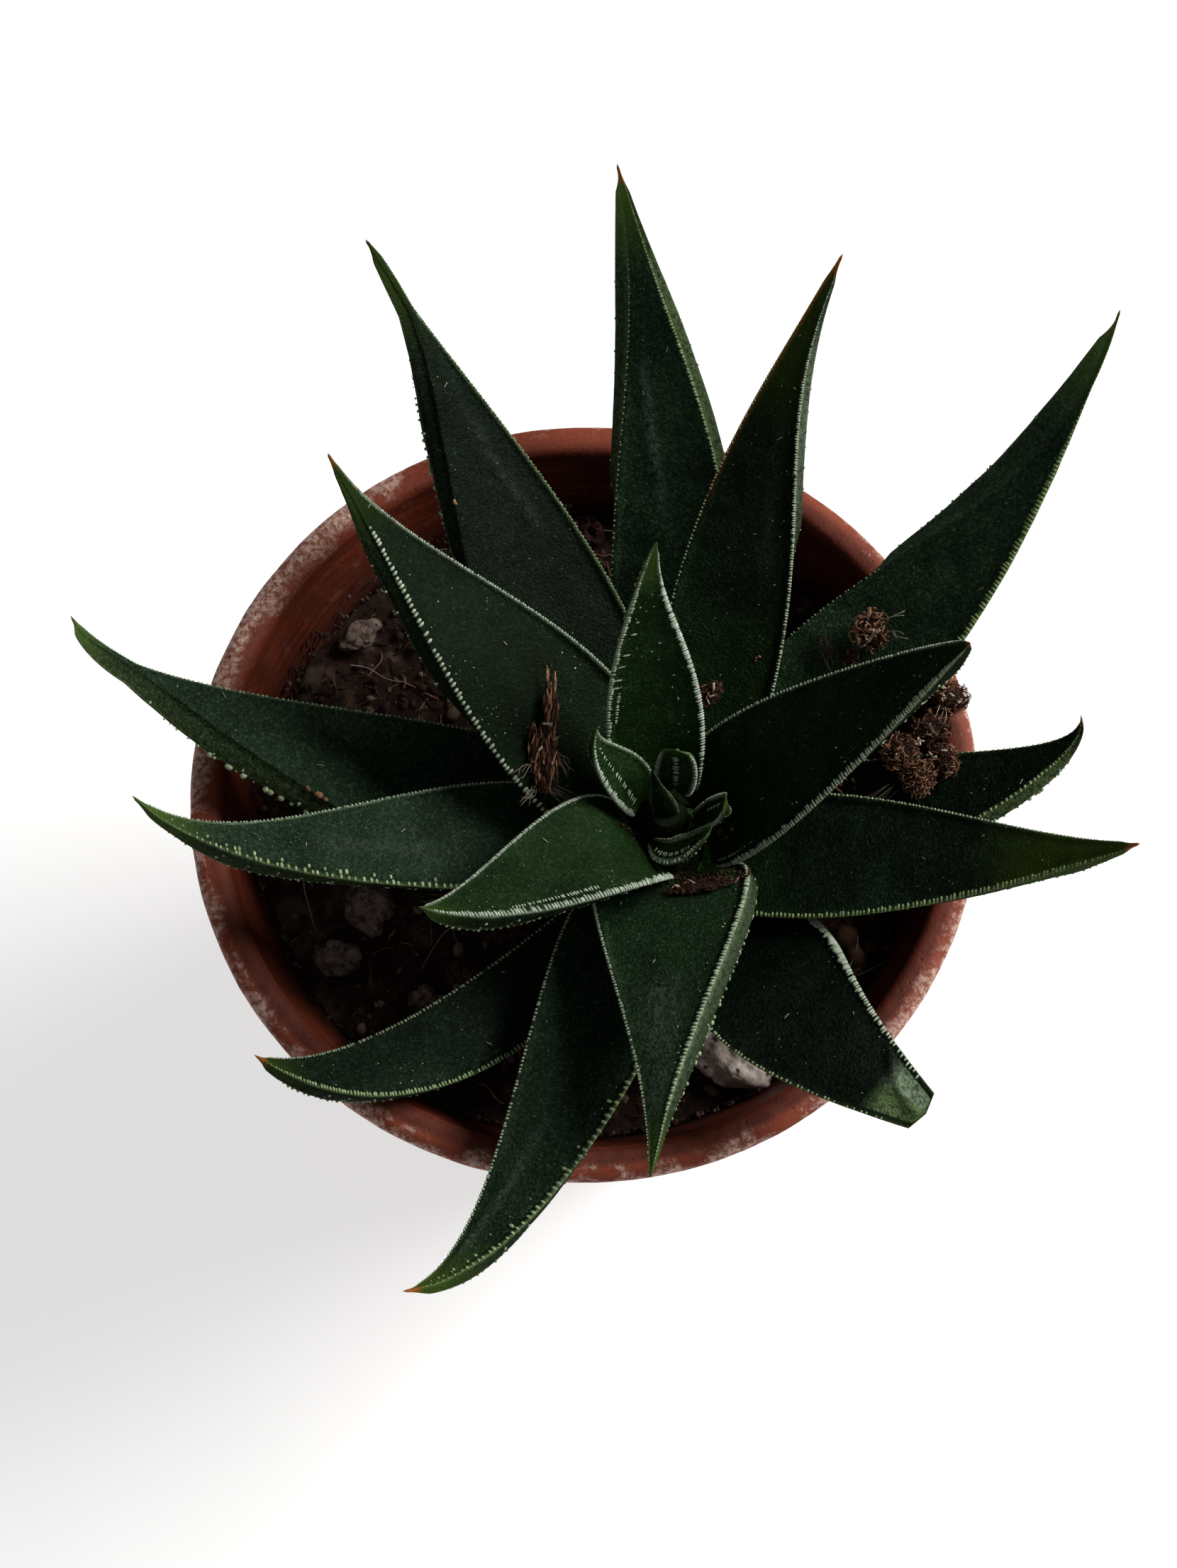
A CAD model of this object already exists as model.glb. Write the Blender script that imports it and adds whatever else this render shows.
"""Looks for the potted haworthia: finer leaves with raised white edge bars, clay, soil, peat and light."""

import math

import bmesh
import bpy
import numpy as np
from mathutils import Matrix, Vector


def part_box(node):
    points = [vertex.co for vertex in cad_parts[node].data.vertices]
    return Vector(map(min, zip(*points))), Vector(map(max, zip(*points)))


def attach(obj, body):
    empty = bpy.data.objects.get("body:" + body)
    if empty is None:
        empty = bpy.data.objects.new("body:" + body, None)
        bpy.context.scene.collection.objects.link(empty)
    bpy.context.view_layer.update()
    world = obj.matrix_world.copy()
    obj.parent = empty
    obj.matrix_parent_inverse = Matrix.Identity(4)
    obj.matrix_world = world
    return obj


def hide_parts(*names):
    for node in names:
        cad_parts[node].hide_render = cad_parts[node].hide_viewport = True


MM = 0.001
TAU = 2 * math.pi

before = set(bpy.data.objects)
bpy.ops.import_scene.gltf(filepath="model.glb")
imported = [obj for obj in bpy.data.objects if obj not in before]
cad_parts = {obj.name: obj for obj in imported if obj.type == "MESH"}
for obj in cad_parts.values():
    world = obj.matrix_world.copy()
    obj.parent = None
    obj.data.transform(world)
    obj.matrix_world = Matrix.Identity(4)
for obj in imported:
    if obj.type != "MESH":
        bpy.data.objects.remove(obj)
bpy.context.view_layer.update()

# The same driving values as the part's source, in millimetres and degrees
POT = {
    "height": 80, "rim": 45, "lip_round": 1.6, "band_height": 18, "band_step": 2.4, "foot": 30,
    "taper": 0.155, "mouth": 41.2, "throat": 37.2, "throat_depth": 18, "floor": 26.5,
    "floor_thickness": 5, "drain": 5,
}
SEAT_GAP = 0.3
SOIL_DEPTH, SOIL_LUMP = 12, 0.5
STEM = {"x": 9, "y": -5.5, "radius": 4.6, "top": 2.2, "rise": 6.3, "buried": 12}
EDGE = {"band": 0.8, "band_foot": 0.3, "ridge": 0.22, "reach": 1.4}
BLADE = {
    "depths": (0.45, 1, 0.85, 0.14), "depth_limit": 0.62, "foot_dish": -0.07, "tip_dish": 0.04,
    "foot_gap": 0.55, "tip_width": 0.7, "tip_length": 0.6, "shoulder_across": 0.35, "shoulder_depth": 0.5,
    "flank_peak": 0.78, "flank_run": 0.5, "flank_blend": 3,
}

# heading, seat, third, two thirds, tip, widths, roll, keel, thickness, and what only some leaves have
LEAF_ROWS = [
    (8, -9.6, (30, -3.9, -1.3), (46.9, -1, 6), (54.3, 3.5, 11), (6, 13.2, 6.1), 14, 0.3, 3.4,
     {"flank": (0, 0.6)}),
    (234, -9.1, (-9.3, -25.5, -3), (-23, -33.5, 4.5), (-34, -33.7, 13), (7, 10, 7.6), -14, -0.5, 3.6),
    (92, -8.9, (10.1, 25.6, 3), (8.2, 44.4, 17), (3.9, 58.2, 34), (6.7, 13.9, 6.8), 24, -0.2, 4.2,
     {"flank": (1.9, 0.4)}),
    (168, -7.5, (-15.2, -1.2, 0), (-40.9, 7, 7), (-56.4, 15.4, 12), (6.4, 17, 5.3), -30, -0.5, 4.2,
     {"flank": (2.5, 0)}),
    (309, -8.4, (17.9, -19.4, 0.7), (21.8, -27.8, 8), (34.2, -40, 15), (5.2, 15.8, 15.7), -6, -0.4, 4,
     {"blunt": 4.6}),
    (36, -6.4, (31.6, 13, 4), (46.9, 25.7, 17), (56.4, 41, 33), (7, 15.9, 6.3), 20, -0.4, 4.2,
     {"flank": (3.6, 0)}),
    (246, -6.5, (2.8, -23, 1.8), (-5.8, -44.7, 10), (-17.6, -58.1, 20), (6.8, 14.2, 8.5), -25, -0.5, 4.2),
    (336, -4.6, (28.3, -10.2, 5), (43.2, -13.2, 15), (54.8, -15.8, 29), (11.4, 14.5, 8), 10, 0.4, 4.2),
    (191, -4.2, (-12, -7.9, 5.6), (-30.9, -11.1, 14), (-45.9, -9, 24), (7.4, 13, 7.2), -28, -0.5, 4.2),
    (118, -2.6, (-4, 17.9, 8.3), (-13.9, 37.5, 21), (-22.5, 48.7, 35), (5.6, 16.3, 5.7), -31, -0.5, 4.2,
     {"flank": (1.5, 0)}),
    (275, -2.3, (9.2, -16, 6.5), (8, -31.2, 15), (6.2, -47.4, 24), (12.4, 16.8, 8), -37, -0.5, 4.2,
     {"flank": (0.4, 0), "peak": 0.42}),
    (48, -1, (16.9, 20.3, 9), (20.8, 35, 20), (27.4, 47.8, 33), (11, 12.9, 6.3), 15, 0.3, 4.2,
     {"flank": (0, 0.4)}),
    (155, 0, (-5.7, 6.8, 11.5), (-17.7, 17.7, 20), (-26.2, 25.5, 32), (11.7, 16.5, 7.4), -35, -0.5, 4.2,
     {"flank": (0.8, 0)}),
    (6, 0.6, (20.2, -1.6, 11.1), (32.2, 3.5, 21), (38.6, 4.1, 33), (10.6, 14.8, 7.9), 25, 0.4, 4),
    (232, 2, (1.4, -11.3, 13.3), (-7.6, -17.9, 21), (-16.1, -22.1, 30), (9.8, 12.8, 8.2), -30, -0.5, 3.8),
    (105, 3.4, (7.4, 4.4, 16), (6.7, 9.3, 27), (7.2, 12.8, 38), (9, 10.2, 5.3), -10, -0.3, 3.4),
    (347, 4.2, (13.4, -6.2, 8), (14.4, -6.7, 11.5), (14.9, -6.9, 15), (3, 3.8, 3.6), 0, 0, 1.5,
     {"blunt": 2.2}),
    (236, 4, (8.8, -10.4, 8.2), (10.8, -10.3, 9.8), (13.2, -9.5, 12.5), (1, 3.4, 3.6), 0, 0.2, 1.5,
     {"blunt": 2}),
    (150, 4.8, (4.8, -2.7, 9), (2.2, -1.8, 14), (1.3, -0.1, 19), (4.3, 6.2, 4.2), -15, -0.2, 1.7,
     {"blunt": 0.7}),
    (75, 4.6, (9.9, -2.6, 7.5), (10, -1.5, 10.5), (9.8, -0.8, 13.5), (3, 4.5, 4.6), 0, 0, 1.5, {"blunt": 3}),
]

# Where each piece's random draws start
SEEDS = {
    "crumbs": 7, "wall_crumbs": 8, "fibres": 11, "threads": 23, "debris": 61, "leaf": 100, "clump": 300,
    "rim": 399,
}


def leaf_from_row(number, row):
    names = ("heading", "seat", "third", "two_thirds", "tip", "widths", "roll", "keel", "thick")
    leaf = {"blunt": BLADE["tip_width"], "flank": (0, 0), "peak": BLADE["flank_peak"]}
    leaf.update(zip(names, row))
    if len(row) > len(names):
        leaf.update(row[-1])
    leaf["number"] = number
    leaf["name"] = f"leaf_{number:02d}"
    return leaf


LEAVES = [leaf_from_row(i + 1, row) for i, row in enumerate(LEAF_ROWS)]


# Numbers and noise

def lerp(a, b, share):
    return a + (b - a) * share


def smooth(low, high, value):
    share = np.clip((np.asarray(value, float) - low) / (high - low), 0, 1)
    return share * share * (3 - 2 * share)


HASH_STEPS, HASH_SEED, HASH_TURN = (374761393, 668265263, 1274126177), 974711, 1103515245
HASH_MASK, HASH_LOW = 0x7FFFFFFF, 0xFFFF


def lattice(cell, seed):
    """A fixed value from 0 to 1 for each whole-numbered place."""
    mixed = sum(cell[..., axis] * step for axis, step in enumerate(HASH_STEPS))
    mixed = (mixed + seed * HASH_SEED) & HASH_MASK
    mixed = ((mixed ^ (mixed >> 13)) * HASH_TURN) & HASH_MASK
    return ((mixed ^ (mixed >> 16)) & HASH_LOW) / HASH_LOW


def noise(points, seed):
    """Smooth noise from -1 to 1 at each point."""
    points = np.asarray(points, float)
    cell = np.floor(points).astype(np.int64)
    inside = points - cell
    ease = inside * inside * (3 - 2 * inside)
    total = np.zeros(points.shape[:-1])
    for corner in range(8):
        step = np.array([corner & 1, (corner >> 1) & 1, corner >> 2])
        share = np.prod(np.where(step, ease, 1 - ease), axis=-1)
        total += share * lattice(cell + step, seed)
    return 2 * total - 1


def rough_noise(points, seed, octaves, gain=0.5):
    total, size = 0.0, 1.0
    points = np.asarray(points, float)
    for octave in range(octaves):
        total = total + size * noise(points * 2.03**octave, seed + 17 * octave)
        size *= gain
    return total


# Meshes

def add_object(name, data):
    made = bpy.data.objects.new(name, data)
    bpy.context.scene.collection.objects.link(made)
    return made


class Build:
    """Collects one piece's corners and faces, a material number for each face and values for each corner."""

    def __init__(self):
        self.points, self.faces, self.materials, self.values = [], [], [], {}
        self.count = 0

    def add(self, points, faces, material=0, **values):
        points = np.asarray(points, float)
        self.points.append(points)
        for face in faces:
            face = np.asarray(face) + self.count
            self.faces.extend(face.tolist())
            self.materials.extend([material] * len(face))
        for name in sorted(set(values) | set(self.values)):
            if name not in self.values:
                self.values[name] = [np.zeros(self.count)]
            value = values.get(name, 0.0)
            self.values[name].append(np.broadcast_to(np.asarray(value, float), (len(points),)))
        self.count += len(points)

    def piece(self, name, materials, nodes=()):
        mesh = bpy.data.meshes.new(name)
        mesh.from_pydata((np.concatenate(self.points) * MM).tolist(), [], self.faces)
        mesh.polygons.foreach_set("material_index", self.materials)
        mesh.polygons.foreach_set("use_smooth", [True] * len(mesh.polygons))
        for label, parts in self.values.items():
            attribute = mesh.attributes.new(label, "FLOAT", "POINT")
            attribute.data.foreach_set("value", np.concatenate(parts).astype(np.float32))
        for material in materials:
            mesh.materials.append(material)
        mesh.update()
        made = add_object(name, mesh)
        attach(made, "root")
        if nodes:
            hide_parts(*nodes)


def circle_points(radius, height, turn, x=0, y=0):
    return np.stack([x + radius * np.cos(turn), y + radius * np.sin(turn), height + 0 * turn], -1)


def tube_faces(rings, sides):
    """Faces between neighbouring rings of points."""
    ring, side = np.meshgrid(np.arange(rings - 1), np.arange(sides), indexing="ij")
    a, b = ring * sides + side, ring * sides + (side + 1) % sides
    return np.stack([a, b, b + sides, a + sides], -1).reshape(-1, 4)


def cap_faces(start, sides, tip, flip):
    side = np.arange(sides)
    after = (side + 1) % sides
    order = (after, side) if flip else (side, after)
    return np.stack([start + order[0], start + order[1], np.full(sides, tip)], -1)


def capped_tube(rings, sides, flip=False):
    """Faces of a closed skin over rings of points, which are followed by its first and last point."""
    count = rings * sides
    around = tube_faces(rings, sides)
    return (
        around[:, ::-1] if flip else around, cap_faces(0, sides, count, not flip),
        cap_faces(count - sides, sides, count + 1, flip))


def unit(vectors):
    return vectors / np.maximum(np.linalg.norm(vectors, axis=-1, keepdims=True), 1e-12)


def ball(segments, rings):
    """A unit ball's corners and faces."""
    points = [(0, 0, 1)]
    for ring in range(1, rings):
        down = math.pi * ring / rings
        for segment in range(segments):
            turn = TAU * segment / segments
            points.append((math.sin(down) * math.cos(turn), math.sin(down) * math.sin(turn), math.cos(down)))
    points.append((0, 0, -1))
    top = cap_faces(1, segments, 0, False)
    middle = tube_faces(rings - 1, segments)[:, ::-1] + 1
    bottom = cap_faces(1 + (rings - 2) * segments, segments, len(points) - 1, True)
    return np.array(points), (top, middle, bottom)


def ico(subdivisions):
    made = bmesh.new()
    bmesh.ops.create_icosphere(made, subdivisions=subdivisions, radius=1)
    made.verts.ensure_lookup_table()
    points = np.array([v.co for v in made.verts])
    faces = np.array([[v.index for v in f.verts] for f in made.faces])
    made.free()
    return points, faces


# A direction that no thread keeps to, from which the corners round a thread are set out
ASIDE = (0.31, 0.17, 0.93)


def sweep(build, path, radii, sides, material=0, flat=1.0, **values):
    """A tapered thread along a path, with pointed ends."""
    path = np.asarray(path, float)
    along = unit(np.gradient(path, axis=0))
    side = unit(np.cross(along, ASIDE))
    other = np.cross(along, side)
    turn = (TAU * np.arange(sides) / sides)[None, :, None]
    around = np.cos(turn) * side[:, None] + flat * np.sin(turn) * other[:, None]
    rings = path[:, None] + around * np.broadcast_to(radii, (len(path),))[:, None, None]
    points = np.concatenate([rings.reshape(-1, 3), path[:1], path[-1:]])
    build.add(points, capped_tube(len(path), sides), material, **values)


# The part's own curves

def cubic(values, t):
    """The curve through four values at 0, 1/3, 2/3 and 1."""
    t = np.asarray(t, float)
    shares = (
        -4.5 * (t - 1 / 3) * (t - 2 / 3) * (t - 1),
        13.5 * t * (t - 2 / 3) * (t - 1),
        -13.5 * t * (t - 1 / 3) * (t - 1),
        4.5 * t * (t - 1 / 3) * (t - 2 / 3),
    )
    return sum(share * value for share, value in zip(shares, values))


def stem_radius(height):
    share = (height + SOIL_DEPTH) / (STEM["rise"] + SOIL_DEPTH)
    return lerp(STEM["radius"], STEM["top"], min(1, max(0, share)))


def midline(leaf, t):
    turn = math.radians(leaf["heading"])
    start = stem_radius(leaf["seat"]) + BLADE["foot_gap"]
    foot = (STEM["x"] + start * math.cos(turn), STEM["y"] + start * math.sin(turn), leaf["seat"])
    rows = [cubic([foot[i], leaf["third"][i], leaf["two_thirds"][i], leaf["tip"][i]], t) for i in range(3)]
    return np.stack(rows, -1) + (0, 0, POT["height"])


def turned(vectors, axes, angles):
    """Vectors turned about axes by angles, row by row."""
    c, s = np.cos(angles)[:, None], np.sin(angles)[:, None]
    along = np.sum(axes * vectors, -1, keepdims=True)
    return vectors * c + np.cross(axes, vectors) * s + axes * along * (1 - c)


def blade_frame(leaf, t):
    t = np.atleast_1d(np.asarray(t, float))
    step = 0.001
    along = unit(midline(leaf, t + step) - midline(leaf, t - step))
    chord = midline(leaf, 2 / 3) - midline(leaf, 0)
    right = unit(np.array([chord[1], -chord[0], 0]))[None] + 0 * along
    right = unit(right - along * np.sum(along * right, -1, keepdims=True))
    right = turned(right, along, -np.radians(leaf["roll"]) * t)
    return midline(leaf, t), along, right, np.cross(right, along)


# The needle tips are finer than the solids': the share of their width that is left at the end
TIP_SHARE, TIP_FROM = 0.5, 0.95


def fineness(half):
    """Less than 1 where the blade is too narrow for edges and knobs of full size."""
    return np.minimum(1, half / 2)


def of_side(pair, side):
    """The left value of a pair for side -1, and the right one for side 1."""
    return pair[0 if side < 0 else 1]


def blade_size(leaf, t):
    t = np.asarray(t, float)
    width = np.maximum(BLADE["tip_width"], cubic([*leaf["widths"], leaf["blunt"]], t))
    if leaf["blunt"] == BLADE["tip_width"]:
        width = width * lerp(1, TIP_SHARE, smooth(TIP_FROM, 1, t))
    depth = np.minimum(leaf["thick"] * cubic(BLADE["depths"], t), BLADE["depth_limit"] * width)
    return width / 2, depth, width * lerp(BLADE["foot_dish"], BLADE["tip_dish"], t)


def bulge_share(leaf, t):
    """How far a side bulges past its edge, as a share of its most."""
    peak = leaf["peak"]
    fall = np.maximum(0, (t - peak) / (1 - peak))
    return smooth(peak - BLADE["flank_run"], peak, t) * (1 - fall**2)


def shoulder(leaf, t, side):
    half, depth, _ = blade_size(leaf, t)
    flank = of_side(leaf["flank"], side)
    bulge = bulge_share(leaf, t) if flank > 0 else 0 * half
    tucked = lerp(side * half, leaf["keel"] * half, BLADE["shoulder_across"])
    bulged = side * (half + flank * bulge)
    return lerp(tucked, bulged, np.minimum(1, BLADE["flank_blend"] * bulge)), -depth * BLADE["shoulder_depth"]


# Where the underside starts: a share of the half width, and millimetres below the edge
UNDER_ACROSS, UNDER_DROP = 0.97, 0.22


def under_curve(leaf, t, side, down):
    """Across and up below an edge, for down from 0 at the edge through the shoulder to 1 at the keel."""
    half, depth, _ = blade_size(leaf, t)
    middle_across, middle_up = shoulder(leaf, t, side)
    edge, middle, keel = (1 - down) * (1 - 2 * down), 4 * down * (1 - down), down * (2 * down - 1)
    across = edge * side * half * UNDER_ACROSS + middle * middle_across + keel * leaf["keel"] * half
    up = -edge * UNDER_DROP * fineness(half) + middle * middle_up - keel * depth
    return across, up


def blade_length(leaf):
    path = midline(leaf, np.linspace(0, 1, 60))
    return float(np.sum(np.linalg.norm(np.diff(path, axis=0), axis=1)))


def face_height(leaf, t, across):
    half, _, dish = blade_size(leaf, t)
    hollow = np.maximum(half - EDGE["reach"] * EDGE["band"], 0.01)
    side = np.abs(across)
    inner = lerp(dish, EDGE["band_foot"] * dish, np.minimum(1, side / hollow))
    outer = lerp(EDGE["band_foot"] * dish, EDGE["ridge"], np.clip((side - hollow) / EDGE["band"], 0, 1))
    return np.where(side < hollow, inner, outer)


def blade_points(leaf, t, across, up):
    centre, _, right, out = blade_frame(leaf, t)
    return centre + right * np.asarray(across)[..., None] + out * np.asarray(up)[..., None]


def inner_radius(z):
    """The pot's inside above the throat."""
    throat = POT["height"] - POT["throat_depth"]
    return lerp(POT["throat"], POT["mouth"], (z - throat) / POT["throat_depth"])


def soil_height(x, y):
    mound = 0.5 * np.exp(-((np.hypot(x - STEM["x"], y - STEM["y"]) / 20) ** 2))
    lumps = np.sin(0.36 * x + 1.3) * np.cos(0.31 * y - 0.4) + 0.5 * np.sin(0.5 * y + 0.2 * x)
    return POT["height"] - SOIL_DEPTH + mound + 0.02 * x + SOIL_LUMP * lumps


# Materials

class Shader:
    """A small helper that adds and joins the nodes of one material."""

    def __init__(self, name):
        self.material = bpy.data.materials.new(name)
        self.material.use_nodes = True
        self.tree = self.material.node_tree
        self.tree.nodes.clear()
        out = self.tree.nodes.new("ShaderNodeOutputMaterial")
        self.skin = self.tree.nodes.new("ShaderNodeBsdfPrincipled")
        self.tree.links.new(self.skin.outputs[0], out.inputs["Surface"])
        self.place = self.tree.nodes.new("ShaderNodeTexCoord").outputs["Object"]

    def node(self, kind, inputs=None, **settings):
        made = self.tree.nodes.new(kind)
        for key, value in settings.items():
            setattr(made, key, value)
        for key, value in (inputs or {}).items():
            self.put(made.inputs[key], value)
        return made

    def put(self, socket, value):
        if isinstance(value, bpy.types.NodeSocket):
            self.tree.links.new(value, socket)
        elif isinstance(value, (tuple, list)) and len(value) == 3 and socket.type == "RGBA":
            socket.default_value = (*value, 1)
        else:
            socket.default_value = value

    def attribute(self, name):
        return self.node("ShaderNodeAttribute", attribute_name=name).outputs["Fac"]

    def noise(self, per_mm, detail, rough=0.55, vector=None, distortion=0.0):
        return self.node("ShaderNodeTexNoise", {
            "Vector": vector or self.place, "Scale": per_mm / MM, "Detail": detail, "Roughness": rough,
            "Distortion": distortion}).outputs["Fac"]

    def cells(self, per_mm):
        """How far each point is from the middle of its cell."""
        made = self.node("ShaderNodeTexVoronoi", {"Vector": self.place, "Scale": per_mm / MM})
        return made.outputs["Distance"]

    def span(self, value, low, high, to_low=0.0, to_high=1.0):
        return self.node("ShaderNodeMapRange", {
            "Value": value, "From Min": low, "From Max": high, "To Min": to_low, "To Max": to_high,
        }).outputs[0]

    def span_mm(self, value, low, high, to_low=0.0, to_high=1.0):
        """The same for a length, whose ends are given in millimetres."""
        return self.span(value, low * MM, high * MM, to_low, to_high)

    def maths(self, operation, a, b=0.0):
        return self.node("ShaderNodeMath", {0: a, 1: b}, operation=operation).outputs[0]

    def times(self, a, b):
        return self.maths("MULTIPLY", a, b)

    def plus(self, a, b):
        return self.maths("ADD", a, b)

    def mix(self, share, a, b, blend="MIX"):
        made = self.node("ShaderNodeMix", data_type="RGBA", blend_type=blend)
        for key, value in (("Factor", share), ("A", a), ("B", b)):
            self.put(made.inputs[key], value)
        return made.outputs["Result"]

    def bump(self, height, distance_mm, strength, normal=None):
        inputs = {"Height": height, "Distance": distance_mm * MM, "Strength": strength}
        if normal is not None:
            inputs["Normal"] = normal
        return self.node("ShaderNodeBump", inputs).outputs[0]

    def finish(self, colour, roughness, specular, normal=None):
        looks = {"Base Color": colour, "Roughness": roughness, "Specular IOR Level": specular}
        if normal is not None:
            looks["Normal"] = normal
        for name, value in looks.items():
            self.put(self.skin.inputs[name], value)
        return self.material


def face_colour(s, broad, grain):
    """Dark cells, greener at the foot and browner on the sides."""
    age = s.attribute("age")
    dark = s.mix(age, (0.0036, 0.0125, 0.0020), (0.0030, 0.0080, 0.0032))
    light = s.mix(age, (0.0105, 0.0300, 0.0066), (0.0092, 0.0195, 0.0092))
    lit = s.mix(age, (0.016, 0.042, 0.012), (0.017, 0.036, 0.018))
    face = s.mix(s.span(broad, 0.3, 0.72), dark, light)
    face = s.mix(s.span(grain, 0.48, 0.66, 0, 0.8), face, lit)
    foot = s.span(s.attribute("along"), 0.0, 0.30, 1, 0)
    face = s.mix(s.times(foot, 0.8), face, (0.012, 0.036, 0.003))
    side = s.mix(s.span(grain, 0.4, 0.66), (0.0060, 0.0110, 0.0026), (0.0200, 0.0310, 0.0085))
    return s.mix(s.times(s.attribute("flank"), 0.8), face, side)


def scribble_share(s, broad):
    """Where pale wandering lines show."""
    wander = s.maths("ABSOLUTE", s.maths("SUBTRACT", s.noise(3.1, 1, 0.5, distortion=0.9), 0.5))
    scribble = s.times(s.span(wander, 0.012, 0.045, 1, 0), s.span(s.noise(1.9, 2), 0.47, 0.56))
    return s.times(scribble, s.span(broad, 0.34, 0.6, 0.25, 0.75))


def leaf_skin():
    """A leaf's skin, with its marks, its riper tip, the pale lines on its edges and its needle."""
    s = Shader("leaf_skin")
    broad, grain = s.noise(0.14, 4, 0.6), s.noise(3.0, 3, 0.7)
    face = face_colour(s, broad, grain)
    scuff = s.times(s.attribute("scuff"), s.span(s.noise(1.7, 4, 0.8), 0.42, 0.6))
    face = s.mix(scuff, face, (0.075, 0.095, 0.075))
    face = s.mix(scribble_share(s, broad), face, (0.060, 0.100, 0.062))
    face = s.mix(s.attribute("ripe"), face, (0.055, 0.100, 0.012))
    face = s.mix(1.0, face, s.attribute("tone"), "MULTIPLY")
    fleck = s.times(s.span(s.cells(1.15), 0.05, 0.12, 1, 0), s.span(s.noise(0.5, 1), 0.48, 0.58))
    face = s.mix(s.times(fleck, 0.75), face, (0.24, 0.28, 0.22))
    pale = s.mix(s.attribute("white"), (0.090, 0.155, 0.024), (0.22, 0.29, 0.20))
    cord = s.times(s.attribute("cord"), s.span(s.noise(1.9, 2), 0.35, 0.55, 0.35, 0.9))
    face = s.mix(cord, face, pale)
    face = s.mix(s.attribute("needle"), face, (0.36, 0.11, 0.02))
    height = s.plus(s.times(grain, 0.8), s.times(s.cells(3.4), 0.5))
    rough = s.span(s.noise(0.8, 3), 0.3, 0.7, 0.44, 0.60)
    return s.finish(face, rough, 0.048, s.bump(height, 0.19, 0.9))


def edge_bar():
    s = Shader("edge_bar")
    shade = s.span(s.noise(1.5, 2), 0.3, 0.7)
    pale = s.mix(shade, (0.24, 0.31, 0.22), (0.56, 0.62, 0.52))
    green = s.mix(shade, (0.085, 0.140, 0.024), (0.260, 0.340, 0.100))
    colour = s.mix(s.attribute("white"), green, pale)
    return s.finish(colour, 0.5, 0.2, s.bump(s.noise(3, 2), 0.03, 0.5))


# The way from the pot's axis to the side with most lime, and the radius of the middle of the wall at
# the floor and at the lip
LIME_SIDE = (-0.86, 0.51)
WALL_LOW, WALL_HIGH = 27.7, 43.1


def lime_share(s, x, y, z, radius):
    """Where lime lies: its noise and the places that favour it add up."""
    mouth, rim = POT["mouth"], POT["rim"]
    bloom = s.plus(s.noise(0.22, 3, 0.6, distortion=0.5), s.times(s.noise(0.6, 6, 0.78, distortion=0.8), 0.9))
    toward = s.plus(s.times(x, LIME_SIDE[0]), s.times(y, LIME_SIDE[1]))
    one_side = s.span(s.maths("DIVIDE", toward, radius), 0.80, 0.95, -0.05, 0.27)
    back = s.span_mm(y, 28, 42, 0, -0.14)
    lip = s.span_mm(radius, mouth, rim - 1.4, -0.30, 0.03)
    low_body = s.span_mm(z, 60, 56, -0.30, -0.10)
    outer_line = s.span_mm(radius, rim - 0.8, rim - 0.2, 0, 0.15)
    for share in (back, s.maths("MAXIMUM", lip, low_body), one_side, outer_line):
        bloom = s.plus(bloom, share)
    return s.span(bloom, 0.93, 1.13)


def outer_clay(s, broad, fine, lime, pock):
    """The outside's clay, with lime and small dark pocks on it."""
    body = s.mix(s.span(broad, 0.3, 0.7), (0.155, 0.024, 0.010), (0.270, 0.054, 0.023))
    body = s.mix(s.span(fine, 0.45, 0.68, 0, 0.35), body, (0.30, 0.078, 0.040))
    pale = s.mix(s.span(fine, 0.42, 0.58), (0.25, 0.095, 0.060), (0.72, 0.50, 0.42))
    body = s.mix(s.times(lime, 0.85), body, pale)
    return s.mix(s.times(pock, 0.7), body, (0.10, 0.022, 0.012))


def inner_clay(s, z, spin, broad, streak):
    """The inside's clay, with throwing lines, scratches, crusts and damp low down."""
    scratch = s.times(s.span(s.noise(3.2, 2, 0.5, vector=spin), 0.56, 0.64), s.span(broad, 0.42, 0.56))
    body = s.mix(s.span(streak, 0.40, 0.64), (0.110, 0.016, 0.006), (0.180, 0.031, 0.010))
    body = s.mix(s.times(scratch, 0.45), body, (0.34, 0.090, 0.034))
    damp = s.times(s.span(s.noise(0.16, 4, 0.7), 0.46, 0.62), 0.6)
    wet = s.span_mm(s.plus(z, s.times(broad, 6 * MM)), POT["height"] - 2.5, POT["height"] - 7.5)
    body = s.mix(s.maths("MAXIMUM", damp, wet), body, (0.058, 0.012, 0.006))
    crust = s.times(s.span(s.noise(0.35, 5, 0.7), 0.60, 0.68), 0.35)
    return s.mix(crust, body, (0.26, 0.13, 0.09))


def inside_share(s, z, radius):
    """1 on the pot's inside, and less towards the top of the lip."""
    top = POT["height"]
    middle_of_wall = s.span_mm(z, POT["floor_thickness"], top, WALL_LOW * MM, WALL_HIGH * MM)
    inside = s.span_mm(s.maths("SUBTRACT", radius, middle_of_wall), 0, -1)
    return s.times(inside, s.span_mm(z, top - 2, top - 0.1, 1, 0.5))


def groove_share(s, x, y, z, radius):
    """A line inside the lip, on the front and the right."""
    top, mouth, rim = POT["height"], POT["mouth"], POT["rim"]
    groove = s.times(s.span_mm(radius, mouth, mouth + 0.4), s.span_mm(radius, rim - 1.3, rim - 2))
    part = s.maths("MAXIMUM", s.span_mm(y, 4, -22), s.span_mm(x, 5, 28, 0, 0.8))
    groove = s.times(groove, s.times(part, s.span_mm(z, top - 1.5, top - 0.5)))
    return s.times(groove, s.span(s.noise(0.5, 3, 0.6), 0.3, 0.6, 0.45, 0.9))


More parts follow.
